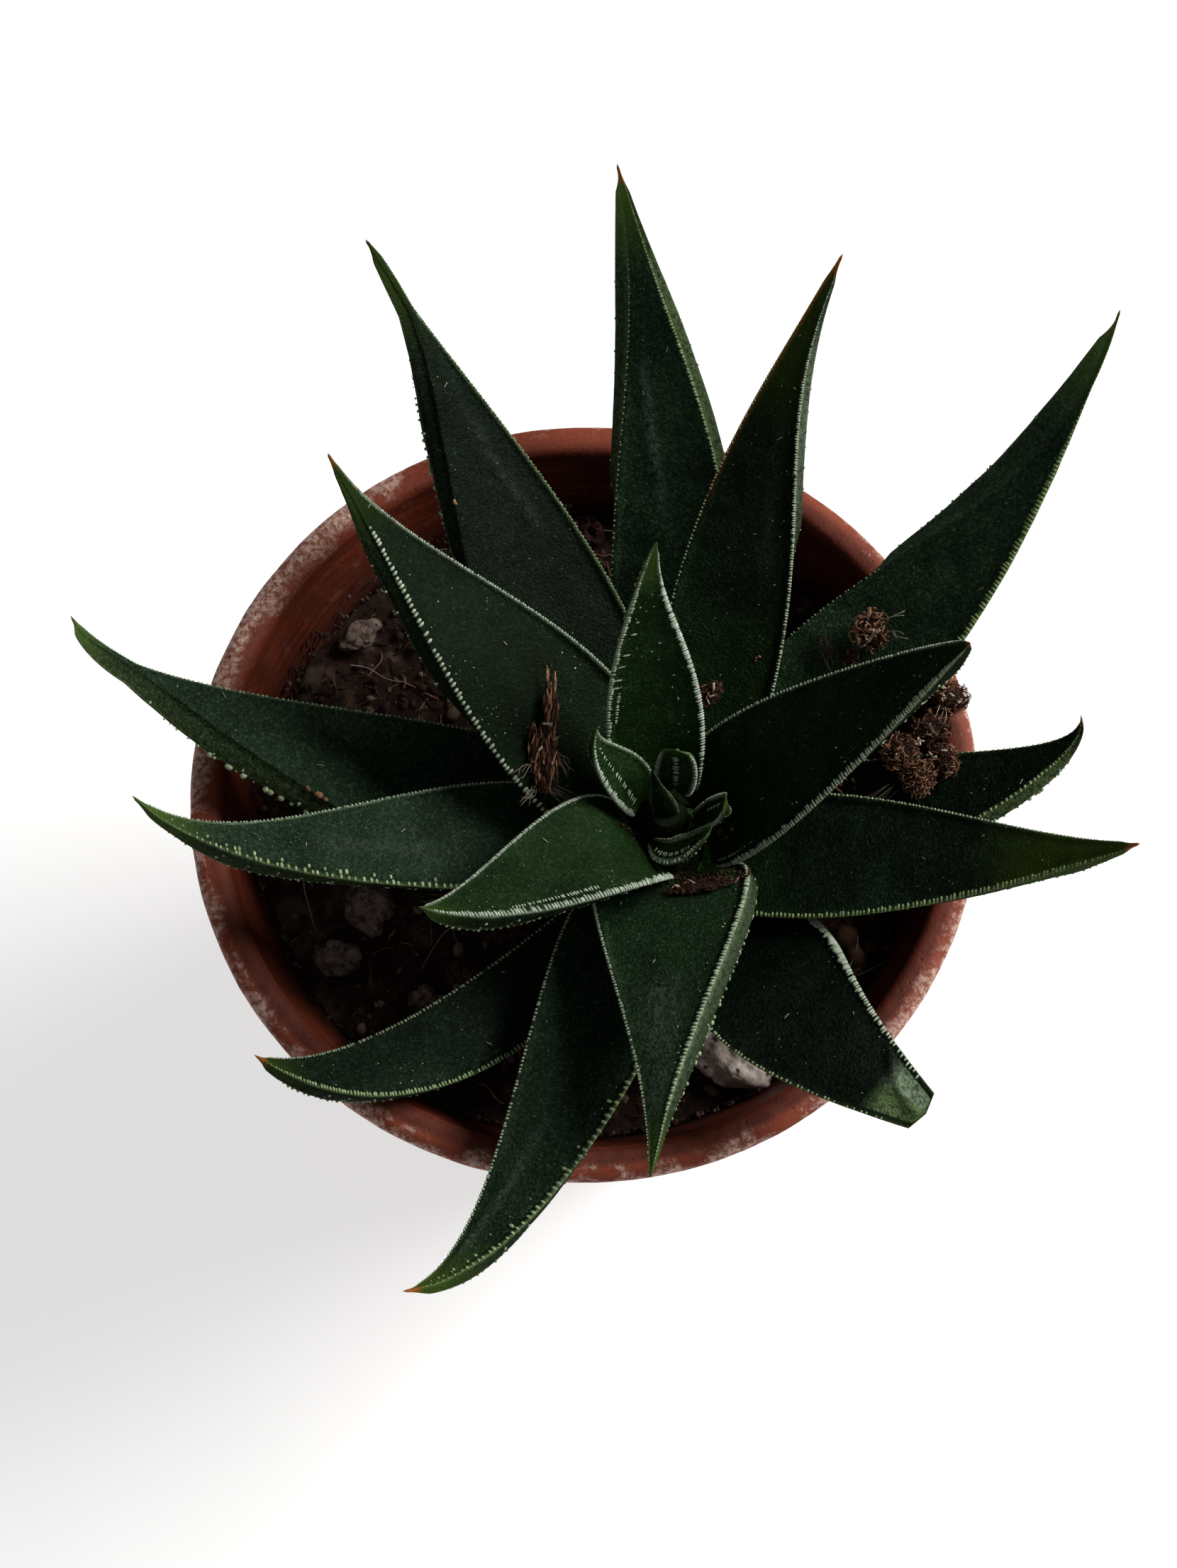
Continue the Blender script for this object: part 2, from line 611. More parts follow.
def clay():
    """Fired clay, with lime on the lip, most of it on one side, a darker inside and a dark foot."""
    s = Shader("terracotta")
    x, y, z = s.node("ShaderNodeSeparateXYZ", {"Vector": s.place}).outputs
    level = s.node("ShaderNodeCombineXYZ", {"X": x, "Y": y}).outputs[0]
    radius = s.node("ShaderNodeVectorMath", {"Vector": level}, operation="LENGTH").outputs["Value"]
    spin = s.node("ShaderNodeCombineXYZ", {"X": radius, "Y": z}).outputs[0]
    broad, fine, streak = s.noise(0.14, 5, 0.65), s.noise(1.5, 5, 0.75), s.noise(1.3, 5, 0.7, vector=spin)
    lime = lime_share(s, x, y, z, radius)
    pock = s.times(s.span(s.cells(0.75), 0.10, 0.2, 1, 0), s.span(s.noise(0.4, 2), 0.5, 0.56))
    outer, inner = outer_clay(s, broad, fine, lime, pock), inner_clay(s, z, spin, broad, streak)
    colour = s.mix(inside_share(s, z, radius), outer, inner)
    colour = s.mix(groove_share(s, x, y, z, radius), colour, (0.070, 0.013, 0.006))
    colour = s.mix(s.times(s.span_mm(z, 3, 0), 0.5), colour, (0.10, 0.03, 0.02))
    normal = s.bump(s.plus(s.noise(2.4, 5, 0.7), s.times(streak, 0.8)), 0.14, 0.6)
    normal = s.bump(s.maths("SUBTRACT", lime, pock), 0.12, 0.5, normal)
    return s.finish(colour, s.span(lime, 0, 1, 0.6, 0.9), 0.25, normal)


def ground(name, dark, mid, light):
    """Peat and crumbs, with a shade for each crumb from its own value."""
    s = Shader(name)
    own = s.attribute("shade")
    fine = s.noise(1.5, 5, 0.75)
    colour = s.mix(s.span(fine, 0.35, 0.65), dark, mid)
    colour = s.mix(s.times(own, s.span(s.noise(0.9, 3), 0.3, 0.7, 0.5, 1)), colour, light)
    normal = s.bump(s.noise(3.0, 5, 0.8), 0.25, 0.9)
    return s.finish(colour, 0.85, 0.2, normal)


def pumice_skin():
    s = Shader("pumice")
    own = s.attribute("shade")
    fine = s.noise(0.9, 6, 0.75)
    colour = s.mix(s.span(fine, 0.3, 0.68), (0.30, 0.22, 0.18), (0.70, 0.60, 0.53))
    colour = s.mix(s.span(s.noise(2.2, 4), 0.5, 0.7, 0, 0.7), colour, (0.78, 0.72, 0.66))
    pit = s.span(s.cells(0.9), 0.1, 0.32, 1, 0)
    pit = s.times(pit, s.span(s.noise(0.5, 2), 0.45, 0.6))
    colour = s.mix(s.times(pit, 0.9), colour, (0.035, 0.022, 0.016))
    colour = s.mix(s.times(own, 0.8), colour, (0.12, 0.062, 0.042))
    dirt = s.times(own, s.span(s.noise(0.6, 4, 0.7), 0.46, 0.60, 0, 0.9))
    colour = s.mix(dirt, colour, (0.026, 0.012, 0.008))
    normal = s.bump(s.maths("SUBTRACT", fine, pit), 0.45, 0.8)
    return s.finish(colour, 0.9, 0.2, normal)


def thread_skin():
    s = Shader("root_thread")
    own = s.attribute("shade")
    colour = s.mix(own, (0.060, 0.026, 0.015), (0.48, 0.41, 0.33))
    return s.finish(colour, 0.6, 0.3)


def stem_skin():
    s = Shader("stem")
    colour = s.mix(s.span(s.noise(0.7, 4), 0.3, 0.7), (0.003, 0.006, 0.0015), (0.008, 0.015, 0.004))
    return s.finish(colour, 0.7, 0.1, s.bump(s.noise(2, 4), 0.1, 0.6))


LEAF_SKIN, EDGE_BAR, CLAY = leaf_skin(), edge_bar(), clay()
SOIL_SKIN = ground("soil", (0.009, 0.0042, 0.0028), (0.048, 0.022, 0.014), (0.34, 0.23, 0.17))
PEAT_SKIN = ground("peat", (0.012, 0.0040, 0.0022), (0.044, 0.0145, 0.0075), (0.74, 0.37, 0.21))
PUMICE_SKIN, THREAD_SKIN, STEM_SKIN = pumice_skin(), thread_skin(), stem_skin()


# Leaves

FACE_POINTS, FLANK_POINTS, KEEL_POINTS = 23, 9, 3
STATION_MM, FEWEST_STATIONS = 0.38, 50
BEAD, BEAD_FACES = ball(7, 4)
SKIN_ROUGH, SKIN_GRAIN = 0.13, 3.1
OUTER_LEAVES, LARGE_LEAVES = 12, 16

# The points across an edge from the face outwards: the place as a share of the band, the height in
# millimetres, how much of the pale line each shows and how far it counts as the side below
CORD_PLACES = np.array([0.18, 0.45, 0.78, 0.98, 0.96])
CORD_HEIGHTS = np.array([0.08, 0.20, 0.22, 0.04, -0.20])
CORD_SHARES = np.array([1, 1, 1, 1, 0.5])
CORD_FLANKS = np.array([0, 0, 0.1, 0.4, 0.9])

# The points over the keel: across and below it in millimetres, and how much of a pale line each shows
KEEL_ACROSS = np.array([0.12, 0, -0.12])
KEEL_DROP = np.array([0.03, 0.12, 0.03])
KEEL_SHARES = np.array([0.3, 0.5, 0.3])
KEEL_COLUMN = FACE_POINTS + len(CORD_PLACES) + FLANK_POINTS

# How far down a wide bulging side its pale outline runs, and how pale the top of a narrow one is
OUTLINE_DOWN = 0.4
FLANK_CORD = {1: 0.6, 3: 0.5, 11: 0.15, 12: 0.6}

# The left and then the right edge of each leaf: half the length of its bars, their pitch, how white it
# is against yellow-green, and the width of the pale line it carries
EDGE_LOOK = {
    1: ((0.16, 0.70, 0.3, 0.08), (0.22, 0.60, 0.3, 0.25)),
    2: ((0.32, 0.42, 0.3, 0.08), (0.24, 0.50, 0.55, 0.06)),
    3: ((0.15, 0.70, 0.4, 0.02), (0.22, 0.42, 0.3, 0.06)),
    4: ((0.15, 0.60, 0.3, -0.08), (0.19, 0.45, 0.5, 0.15)),
    5: ((0.55, 0.34, 0.8, 0.06), (0.22, 0.45, 0.3, 0.10)),
    6: ((0.16, 0.60, 0.3, -0.15), (0.46, 0.48, 0.15, 0.50)),
    7: ((0.34, 0.74, 0.3, 0.14), (0.22, 0.40, 0.6, 0.08)),
    8: ((0.16, 0.45, 0.5, 0.14), (0.34, 0.50, 0.2, 0.24)),
    9: ((0.33, 0.74, 0.3, 0.10), (0.16, 0.42, 0.8, 0.22)),
    10: ((0.24, 0.55, 0.3, -0.10), (0.17, 0.42, 0.35, 0.20)),
    11: ((0.34, 0.38, 0.65, 0.14), (0.22, 0.36, 0.7, 0.18)),
    12: ((0.16, 0.50, 0.45, 0.03), (0.25, 0.34, 0.75, 0.10)),
    13: ((0.38, 0.58, 0.75, -0.10), (0.24, 0.32, 0.9, 0.34)),
    14: ((0.20, 0.36, 0.8, 0.24), (0.42, 0.33, 0.75, 0.36)),
    15: ((0.46, 0.38, 0.95, 0.12), (0.26, 0.34, 0.95, 0.30)),
    16: ((0.34, 0.38, 0.7, 0.24), (0.42, 0.36, 1.0, 0.28)),
    17: ((0.30, 0.36, 0.9, 0.50), (0.34, 0.36, 0.9, 0.60)),
    18: ((0.24, 0.50, 0.7, 0.75), (0.24, 0.50, 0.8, 0.70)),
    19: ((0.42, 0.38, 0.95, 0.34), (0.20, 0.38, 0.85, 0.30)),
    20: ((0.28, 0.38, 0.85, 0.50), (0.28, 0.38, 0.85, 0.50)),
}

# Leaves whose left edge has a second row of bars
DOUBLE_EDGES = (7, 9)

# How bright each leaf is against the others, its left and right sides against it, and how strongly
# its sides take their own colour
LEAF_TONE = {1: 0.38, 2: 0.62, 3: 2.1, 4: 1.35, 5: 0.34, 6: 2.2, 8: 0.7, 9: 1.1, 10: 0.37, 12: 0.55, 13: 0.36,
             14: 0.55, 15: 0.72, 16: 1.3, 18: 1.2, 20: 1.2}
FLANK_TONE = {1: (1.0, 0.6), 3: (1.0, 0.12), 6: (1.2, 1.0), 10: (1.15, 1.0), 12: (1.0, 0.15), 13: (1.3, 1.0)}
PLAIN_FLANKS = {6: 0.2, 10: 0.4, 13: 0.7}

# The knobs on bulging sides, left and right, how far towards the tip they go, and how far the bars do
# on the left edge
PLAIN_KNOBS, PLAIN_KNOB_REACH, PLAIN_BAR_REACH = (0.20, 0.20), 0.93, 0.97
KNOB_SIZE = {3: (0.08, 0.06), 4: (0.31, 0.20), 6: (0.15, 0.20), 12: (0.20, 0.06), 13: (0.07, 0.20)}
KNOB_REACH = {4: 0.80, 6: 0.80, 10: 0.80}
BAR_REACH = {4: 0.12, 6: 0.45, 10: 0.42, 13: 0.82}

# Rows of knobs: from and to as shares of the length, the pitch in millimetres and how far each may lie
# off its place. A row on a bulging side ends at the side's own reach.
SIDE_FROM, SIDE_PITCH, SIDE_LOOSE = 0.25, 0.8, 0.6
KEEL_ROW, UNDER_ROWS = (0.3, 0.93, 0.85, 0.25), (0.1, 0.82, 2.7, 0.1)

# The knobs' half lengths in millimetres, and how far apart they are in a row below the blade
KEEL_KNOB, UNDER_KNOB, STRAY_KNOB, UNDER_APART = 0.16, (0.13, 0.26), (0.05, 0.12), 0.75

# Where each leaf starts to turn yellow-green towards its tip, and how strongly
RIPE = {1: (0.80, 0.7), 2: (0.82, 0.8), 3: (0.80, 0.8), 4: (0.82, 0.65), 5: (0.90, 0.5), 6: (0.80, 0.45),
        7: (0.80, 0.8), 8: (0.60, 0.85), 9: (0.80, 0.75), 10: (0.74, 0.8), 12: (0.62, 0.6), 13: (0.74, 0.7),
        14: (0.88, 0.5), 16: (0.75, 0.6)}
PLAIN_RIPE, RIPE_RUN = (0.82, 0.6), 0.2

# The leaf whose blunt tip is folded to a pale edge, and a reddish edge: its side and its strength
FOLDED_TIP = 5
RED_EDGE = {12: (-1, 0.5)}

# Leaves whose needle tips are orange-brown, and how strongly
NEEDLES = {1: 0.3, 2: 0.8, 3: 0.9, 6: 0.35, 7: 0.9, 8: 0.9, 12: 1.0, 13: 0.4, 14: 0.4}

# Soft ridges along the faces with pale scuffs on them: from and to as shares of the length and of the
# half width, the height and the half width in millimetres, and the strength of the scuffs
RIDGES = {
    3: [(0.66, -0.48, 0.42, -0.12, 0.16, 0.7, 0.6)],
    5: [(0.90, -0.85, 1.0, 0.3, 0.45, 0.5, 0.8)],
    7: [(0.60, 0.20, 0.88, 0.55, 0.20, 0.6, 0.5)],
    9: [(0.62, 0.15, 0.42, -0.25, 0.10, 1.2, 0.25)],
    10: [(0.62, 0.10, 0.44, 0.46, 0.18, 0.7, 0.8), (0.85, -0.1, 0.6, 0.15, 0.10, 0.8, 0.2)],
    11: [(0.55, 0.15, 0.84, 0.2, 0.05, 2.6, 0.5)],
    12: [(0.70, 0.25, 0.36, 0.45, 0.12, 0.9, 0.3)],
}


def with_ridges(leaf, t, across, up, half):
    """The heights with the face's ridges on them, and how scuffed each point is."""
    scuff = 0 * across
    for t0, share0, t1, share1, height, width, strength in RIDGES.get(leaf["number"], ()):
        place = (t - t0) / (t1 - t0)
        apart = across - lerp(share0, share1, np.clip(place, 0, 1)) * half
        rise = np.exp(-((apart / width) ** 2)) * smooth(-0.15, 0.15, place) * smooth(1.15, 0.85, place)
        rise[:, FACE_POINTS:] = 0
        up = up + height * rise
        scuff = np.maximum(scuff, strength * rise)
    return up, scuff


def section(leaf, t):
    """Points across and up for every station, with the cord and flank values that colour them."""
    half, depth, dish = (value[:, None] for value in blade_size(leaf, t))
    fade = fineness(half)
    band = np.minimum(EDGE["band"], 0.45 * half)
    spread = np.linspace(-1, 1, FACE_POINTS)
    down = np.linspace(0, 1, FLANK_POINTS + 2)[1:-1]

    def edge(side):
        width = of_side(EDGE_LOOK[leaf["number"]], side)[3]
        relief = lerp(0.45, 1.0, min(1, width / 0.45))
        cord = smooth(width + 0.14, width - 0.1, band * (1 - CORD_PLACES)) * CORD_SHARES
        return side * (half - band + band * CORD_PLACES), fade * relief * CORD_HEIGHTS, cord, CORD_FLANKS

    def below(side):
        across, up = under_curve(leaf, t[:, None], side, down)
        flank = of_side(leaf["flank"], side)
        if side > 0 or flank < 0.5:
            cord = FLANK_CORD.get(leaf["number"], 0) * (flank > 0) * (down < OUTLINE_DOWN + 0.05)
        else:
            cord = 0.5 * min(1, flank / 2) * (np.abs(down - OUTLINE_DOWN) < 0.01)
        return across, up, cord * bulge_share(leaf, t)[:, None], 1

    face = (half - band) * spread, dish * (1 - 0.7 * np.abs(spread) ** 1.5), 0, 0
    keel = leaf["keel"] * half + fade * KEEL_ACROSS, -depth - fade * KEEL_DROP, KEEL_SHARES, 1
    parts = [np.broadcast_arrays(*part) for part in (face, edge(1), below(1), keel, below(-1), edge(-1))]
    parts[-2:] = [[value[:, ::-1] for value in part] for part in parts[-2:]]
    return [np.concatenate(columns, 1) for columns in zip(*parts)]


def leaf_age(leaf):
    """1 for the outer leaves, down to 0 for the greener inner ones."""
    return float(np.clip((OUTER_LEAVES + 1.5 - leaf["number"]) / 4, 0, 1))


def blade_looks(leaf, t, half, across, cord, flank):
    """The values that colour a blade's skin, each followed by those of its foot and its end point."""
    number = leaf["number"]
    keel = np.zeros(across.shape[1], bool)
    keel[KEEL_COLUMN:KEEL_COLUMN + KEEL_POINTS] = True
    cord = np.where(keel, cord * smooth(0.35, 0.6, t), cord) * lerp(1, 0.6, smooth(0.78, 0.95, t))
    if number == FOLDED_TIP:
        fold = 0.95 * smooth(0.925, 0.955, t)
        cord[:, :FACE_POINTS] = np.maximum(cord[:, :FACE_POINTS], fold)
    tip_colour = NEEDLES.get(number, 0.0)
    needle = tip_colour * smooth(0.965, 0.992, t)
    if number in RED_EDGE:
        side, strength = RED_EDGE[number]
        by_edge = smooth(0.55, 0.1, half - side * across) * smooth(0.4, 0.6, t)
        needle = np.maximum(needle, strength * by_edge)
    ripe_from, ripe_most = RIPE.get(number, PLAIN_RIPE)
    ripe = ripe_most * smooth(ripe_from, ripe_from + RIPE_RUN, t)
    left, right = EDGE_LOOK[number]
    side_tone = np.where(across < 0, *FLANK_TONE.get(number, (1, 1)))
    return {
        "along": (t, 0, 1), "cord": (cord, 0, 0), "flank": (flank * PLAIN_FLANKS.get(number, 1), 0, 0),
        "white": (np.where(across < 0, left[2], right[2]), 0, 0), "needle": (needle, 0, tip_colour),
        "ripe": (ripe, 0, ripe_most), "tone": (LEAF_TONE.get(number, 1.0) * lerp(1, side_tone, flank), 1, 1),
    }


def add_blade(build, leaf):
    stations = int(max(FEWEST_STATIONS, blade_length(leaf) / STATION_MM))
    t = np.linspace(0, 1, stations)
    half = blade_size(leaf, t)[0][:, None]
    across, up, cord, flank = section(leaf, t)
    up, scuff = with_ridges(leaf, t[:, None], across, up, half)
    centre, _, right, out = blade_frame(leaf, t)
    points = centre[:, None] + right[:, None] * across[..., None] + out[:, None] * up[..., None]
    rough = rough_noise(points / SKIN_GRAIN, leaf["number"], 3)
    points = points + out[:, None] * (SKIN_ROUGH * rough * fineness(half) * (1 - cord))[..., None]
    foot = blade_points(leaf, [0.0], [0.0], [-0.2 * leaf["thick"]])
    end = midline(leaf, 1) + unit(midline(leaf, 1) - midline(leaf, 0.98)) * BLADE["tip_length"]
    looks = blade_looks(leaf, t[:, None], half, across, cord, flank)
    looks["scuff"] = (scuff, 0, 0)
    values = {name: np.concatenate([np.broadcast_to(value, across.shape).ravel(), ends])
              for name, (value, *ends) in looks.items()}
    build.add(
        np.concatenate([points.reshape(-1, 3), foot, end[None]]),
        capped_tube(stations, across.shape[1], True), age=leaf_age(leaf), **values)


def add_beads(build, leaf, t, across, up, size, white, lean=0.0):
    """Raised bars at places on a blade. size is millimetres across the blade, along it and up."""
    if not len(t):
        return
    centre, along, right, out = blade_frame(leaf, t)
    lean = np.broadcast_to(lean, (len(t),))[:, None]
    wide = right * np.cos(lean) + out * np.sin(lean)
    points = (centre + right * across[:, None] + out * up[:, None])[:, None]
    for axis, (way, length) in enumerate(zip((wide, along, np.cross(wide, along)), size)):
        points = points + way[:, None] * (BEAD[:, axis] * length[:, None])[..., None]
    offsets = (np.arange(len(t)) * len(BEAD))[:, None, None]
    faces = [(f[None] + offsets).reshape(-1, f.shape[1]) for f in BEAD_FACES]
    build.add(points.reshape(-1, 3), faces, 1, white=white, along=np.repeat(t, len(BEAD)))


def bead_places(rng, leaf, low, high, pitch, loose=0.25):
    count = int(max(0, (high - low) * blade_length(leaf) / pitch))
    return low + (high - low) * (np.arange(count) + 0.5 + loose * rng.uniform(-1, 1, count)) / max(count, 1)


def add_edge_row(build, leaf, rng, side, row):
    """One row of bars along an edge. Row 0 is on the edge itself, and row 1 is a sparse one beside it."""
    number = leaf["number"]
    bar, pitch, white, _ = of_side(EDGE_LOOK[number], side)
    reach = BAR_REACH.get(number, PLAIN_BAR_REACH) if side < 0 else PLAIN_BAR_REACH
    t = bead_places(rng, leaf, 0.02, reach, pitch)
    t = t[rng.uniform(0, 1, len(t)) < (0.97 if row == 0 else 0.35 * smooth(0.2, 0.4, t))]
    half = blade_size(leaf, t)[0]
    fade = fineness(half)
    wide = bar * rng.uniform(0.72, 1.15, len(t)) * fade * lerp(0.75, 1, smooth(0.95, 0.6, t))
    wide = wide * lerp(0.4, 1, smooth(0, 0.14, t))
    inward = 0.72 * wide + row * (1.7 * bar + rng.uniform(0, 0.35, len(t)))
    size = wide, np.minimum(0.55 * wide + 0.04, 0.35 * pitch), 0.08 + 0.25 * wide
    up = 0.16 * fade if row == 0 else face_height(leaf, t, half - inward)
    add_beads(build, leaf, t, side * (half - inward), up, size, white, -0.3 * side)


def add_edge_rows(build, leaf, rng):
    for side in (-1, 1):
        for row in range(2 if side < 0 and leaf["number"] in DOUBLE_EDGES else 1):
            add_edge_row(build, leaf, rng, side, row)


def add_side_knobs(build, leaf, rng):
    """Small knobs where a side bulges past its edge."""
    number = leaf["number"]
    for side, flank in zip((-1, 1), leaf["flank"]):
        if flank > 0:
            reach = KNOB_REACH.get(number, PLAIN_KNOB_REACH)
            t = bead_places(rng, leaf, SIDE_FROM, reach, SIDE_PITCH, SIDE_LOOSE)
            across, up = shoulder(leaf, t, side)
            across = across + side * 0.06 * flank
            size = of_side(KNOB_SIZE.get(number, PLAIN_KNOBS), side)
            wide = size * rng.uniform(0.3, 1.4, len(t)) * np.minimum(1, 0.35 + 4 * bulge_share(leaf, t))
            wide = wide * smooth(reach, reach - 0.2, t)
            add_beads(build, leaf, t, across, up, (wide, wide * 1.1, wide), 0.4)


def add_keel_knobs(build, leaf, rng):
    """Small knobs on the keel towards the tip."""
    t = bead_places(rng, leaf, *KEEL_ROW)
    half, depth, _ = blade_size(leaf, t)
    fade = fineness(half)
    wide = KEEL_KNOB * rng.uniform(0.6, 1.3, len(t)) * fade
    add_beads(build, leaf, t, leaf["keel"] * half, -depth - 0.08 * fade, (wide, wide * 1.1, wide * 1.3), 0.2)


def add_under_bands(build, leaf, rng):
    """Cross rows of white knobs below the blade."""
    small = min(1.0, max(leaf["widths"]) / 10)
    for middle in bead_places(rng, leaf, *UNDER_ROWS):
        for side in (-1, 1):
            count = int(max(2, float(blade_size(leaf, middle)[0]) / UNDER_APART))
            down = (np.arange(count) + 0.5 + 0.25 * rng.uniform(-1, 1, count)) / count
            down = down[down > 0.3]
            t = middle + rng.normal(0, 0.003, len(down))
            across, up = under_curve(leaf, t, side, down)
            next_across, next_up = under_curve(leaf, t, side, down + 0.02)
            lean = np.arctan2(next_up - up, next_across - across)
            wide = rng.uniform(*UNDER_KNOB, len(t)) * small
            add_beads(build, leaf, t, across, up, (wide, wide * 0.75, wide * 0.6), 0.8, lean)


def add_stray_knobs(build, leaf, rng):
    """Single knobs on the face beside the edge over the keel."""
    if leaf["number"] > LARGE_LEAVES:
        return
    side = -1 if leaf["keel"] < 0 else 1
    count = int(10 + 6 * (1 - leaf_age(leaf)))
    t = rng.uniform(0.3, 0.9, count)
    half = blade_size(leaf, t)[0]
    inward = 1.0 + np.abs(rng.normal(0, 1.2, count))
    across = side * np.maximum(half - inward, -half * 0.5)
    wide = rng.uniform(*STRAY_KNOB, count)
    white = of_side(EDGE_LOOK[leaf["number"]], side)[2]
    add_beads(build, leaf, t, across, face_height(leaf, t, across), (wide, wide, wide * 0.7), white)


def add_face_row(build, leaf, rng, low, low_share, high, high_share, pitch, low_width, high_width):
    """A line of short cross bars on the face."""
    t = bead_places(rng, leaf, low, high, pitch, 0.35)
    place = (t - low) / (high - low)
    width = lerp(low_width, high_width, place) * rng.uniform(0.6, 1.15, len(t))
    add_marks(build, leaf, t, lerp(low_share, high_share, place), width)


def add_marks(build, leaf, t, share, width):
    across = share * blade_size(leaf, t)[0]
    size = width, np.minimum(0.11, 0.04 + 0.35 * width), 0.10 + 0 * width
    add_beads(build, leaf, t, across, face_height(leaf, t, across) + 0.02, size, 0.85)


# Rows of bars on faces: from and to as shares of the length and half width, then the pitch and the
# half lengths of the first and last bar
FACE_ROWS = {
    13: [(0.36, -0.55, 0.5, -0.5, 1.6, 0.12, 0.12)],
    14: [(0.03, 0.86, 0.20, 0.80, 0.5, 0.2, 0.1)],
    15: [(0.45, -0.74, 0.72, -0.66, 0.36, 0.3, 0.24)],
    16: [(0.26, -0.80, 0.38, -0.74, 0.33, 0.22, 0.26)],
    17: [(0.3, -0.3, 0.8, -0.3, 0.5, 0.22, 0.22)],
    18: [(0.15, 0.25, 0.75, 0.3, 0.46, 0.36, 0.3)],
    19: [(0.10, -0.40, 0.80, 0.12, 0.62, 0.55, 0.16)],
    20: [(0.10, 0.05, 0.88, -0.05, 0.42, 0.50, 0.42)],
}

# Single bars on faces: the place as shares of the length and half width, and the half length
MARKS = {
    16: [(0.66, -0.44, 0.22), (0.61, -0.52, 0.42), (0.526, -0.66, 0.52), (0.482, -0.76, 0.55),
         (0.43, -0.80, 0.55), (0.40, -0.82, 0.42), (0.55, 0.30, 0.2), (0.52, 0.05, 0.14), (0.482, 0.21, 0.13),
         (0.408, 0.51, 0.16), (0.36, 0.44, 0.12), (0.313, 0.53, 0.15), (0.251, 0.59, 0.13),
         (0.22, 0.50, 0.10), (0.189, 0.67, 0.13)],
    13: [(0.30, 0.70, 0.16), (0.34, 0.74, 0.13), (0.52, 0.62, 0.1)],
}


def make_leaf(leaf):
    number = leaf["number"]
    rng = np.random.default_rng(SEEDS["leaf"] + number)
    build = Build()
    add_blade(build, leaf)
    for add in (add_edge_rows, add_side_knobs, add_keel_knobs, add_under_bands, add_stray_knobs):
        add(build, leaf, rng)
    for row in FACE_ROWS.get(number, ()):
        add_face_row(build, leaf, rng, *row)
    if number in MARKS:
        add_marks(build, leaf, *np.array(MARKS[number]).T)
    build.piece(leaf["name"] + "_skin", [LEAF_SKIN, EDGE_BAR], [leaf["name"]])


# The bud: how far its tip leans from the stem's axis, and its half width and half thickness
BUD_LEAN, BUD_HALF = (-1.9, 2.2), (1.5, 0.75)


def make_bud():
    low, high = (np.array(corner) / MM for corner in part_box("leaf_bud"))
    foot = np.array([STEM["x"], STEM["y"], low[2]])
    tip = np.array([STEM["x"] + BUD_LEAN[0], STEM["y"] + BUD_LEAN[1], high[2]])
    stations, sides = 60, 28
    t = np.linspace(0, 1, stations)[:, None]
    turn = TAU * np.arange(sides)[None] / sides
    narrow = (1 - t) ** 0.8 * (0.75 + 0.25 * np.sin(math.pi * np.minimum(1, 1.6 * t)))
    flat = 1 + 0.25 * np.abs(np.cos(turn)) ** 6
    wide, thick = BUD_HALF[0] * narrow * np.cos(turn) * flat, BUD_HALF[1] * narrow * np.sin(turn)
    points = lerp(foot, tip, t)[:, None] + np.stack([wide, thick, 0 * wide], -1)
    cord = 0.6 * smooth(0.86, 0.98, np.abs(np.cos(turn))) * (1 - 0.3 * t)
    along = np.repeat(0.35 + t.ravel() * 0.5, sides)
    build = Build()
    build.add(
        np.concatenate([points.reshape(-1, 3), foot[None], tip[None]]), capped_tube(stations, sides),
        along=np.concatenate([along, [0.35, 0.85]]), cord=np.concatenate([cord.ravel(), [0, 0]]),
        white=0.7, tone=0.5)
    build.piece("leaf_bud_skin", [LEAF_SKIN, EDGE_BAR], ["leaf_bud"])


# Pot

def run(start, end, steps):
    """Points on a line, without its start."""
    return [tuple(lerp(a, b, i / steps) for a, b in zip(start, end)) for i in range(1, steps + 1)]


def squared(value):
    """A sine or cosine that makes a circle squarer."""
    return math.copysign(abs(value) ** 0.75, value)


def pot_profile():
    """Radius and height from the drain hole's lower edge, over the lip, to its upper edge."""
    top, rim, mouth, lip_round = POT["height"], POT["rim"], POT["mouth"], POT["lip_round"]
    band_foot, throat = top - POT["band_height"], top - POT["throat_depth"]
    wall_top = POT["foot"] + POT["taper"] * band_foot
    step = POT["band_step"]
    lip_foot = top - lip_round
    profile = [(POT["drain"], 0.0), (POT["foot"] - 1, 0.0), (POT["foot"] - 0.3, 0.3), (POT["foot"], 1.0)]
    profile += run(profile[-1], (wall_top, band_foot), 24)
    profile += [(wall_top + step * 0.55, band_foot + 0.15), (wall_top + step, band_foot + 0.8)]
    profile += run(profile[-1], (rim, lip_foot), 10)[:-1]
    for i in range(17):
        turn = math.pi * i / 16
        radius = 0.5 * (rim + mouth) + 0.5 * (rim - mouth) * squared(math.cos(turn))
        profile.append((radius, lip_foot + lip_round * squared(math.sin(turn))))
    profile += run((mouth, lip_foot), (POT["throat"], throat), 20)
    profile += run((POT["throat"], throat), (POT["floor"], POT["floor_thickness"]), 6)
    profile.append((POT["drain"], POT["floor_thickness"]))
    return np.array(profile)


# How deep the pot's dents and the lip's roughness are, and how wide, in millimetres
DENT, DENT_WIDTH = 0.10, 9.0
LIP_ROUGH, LIP_GRAIN = 0.08, 4.0


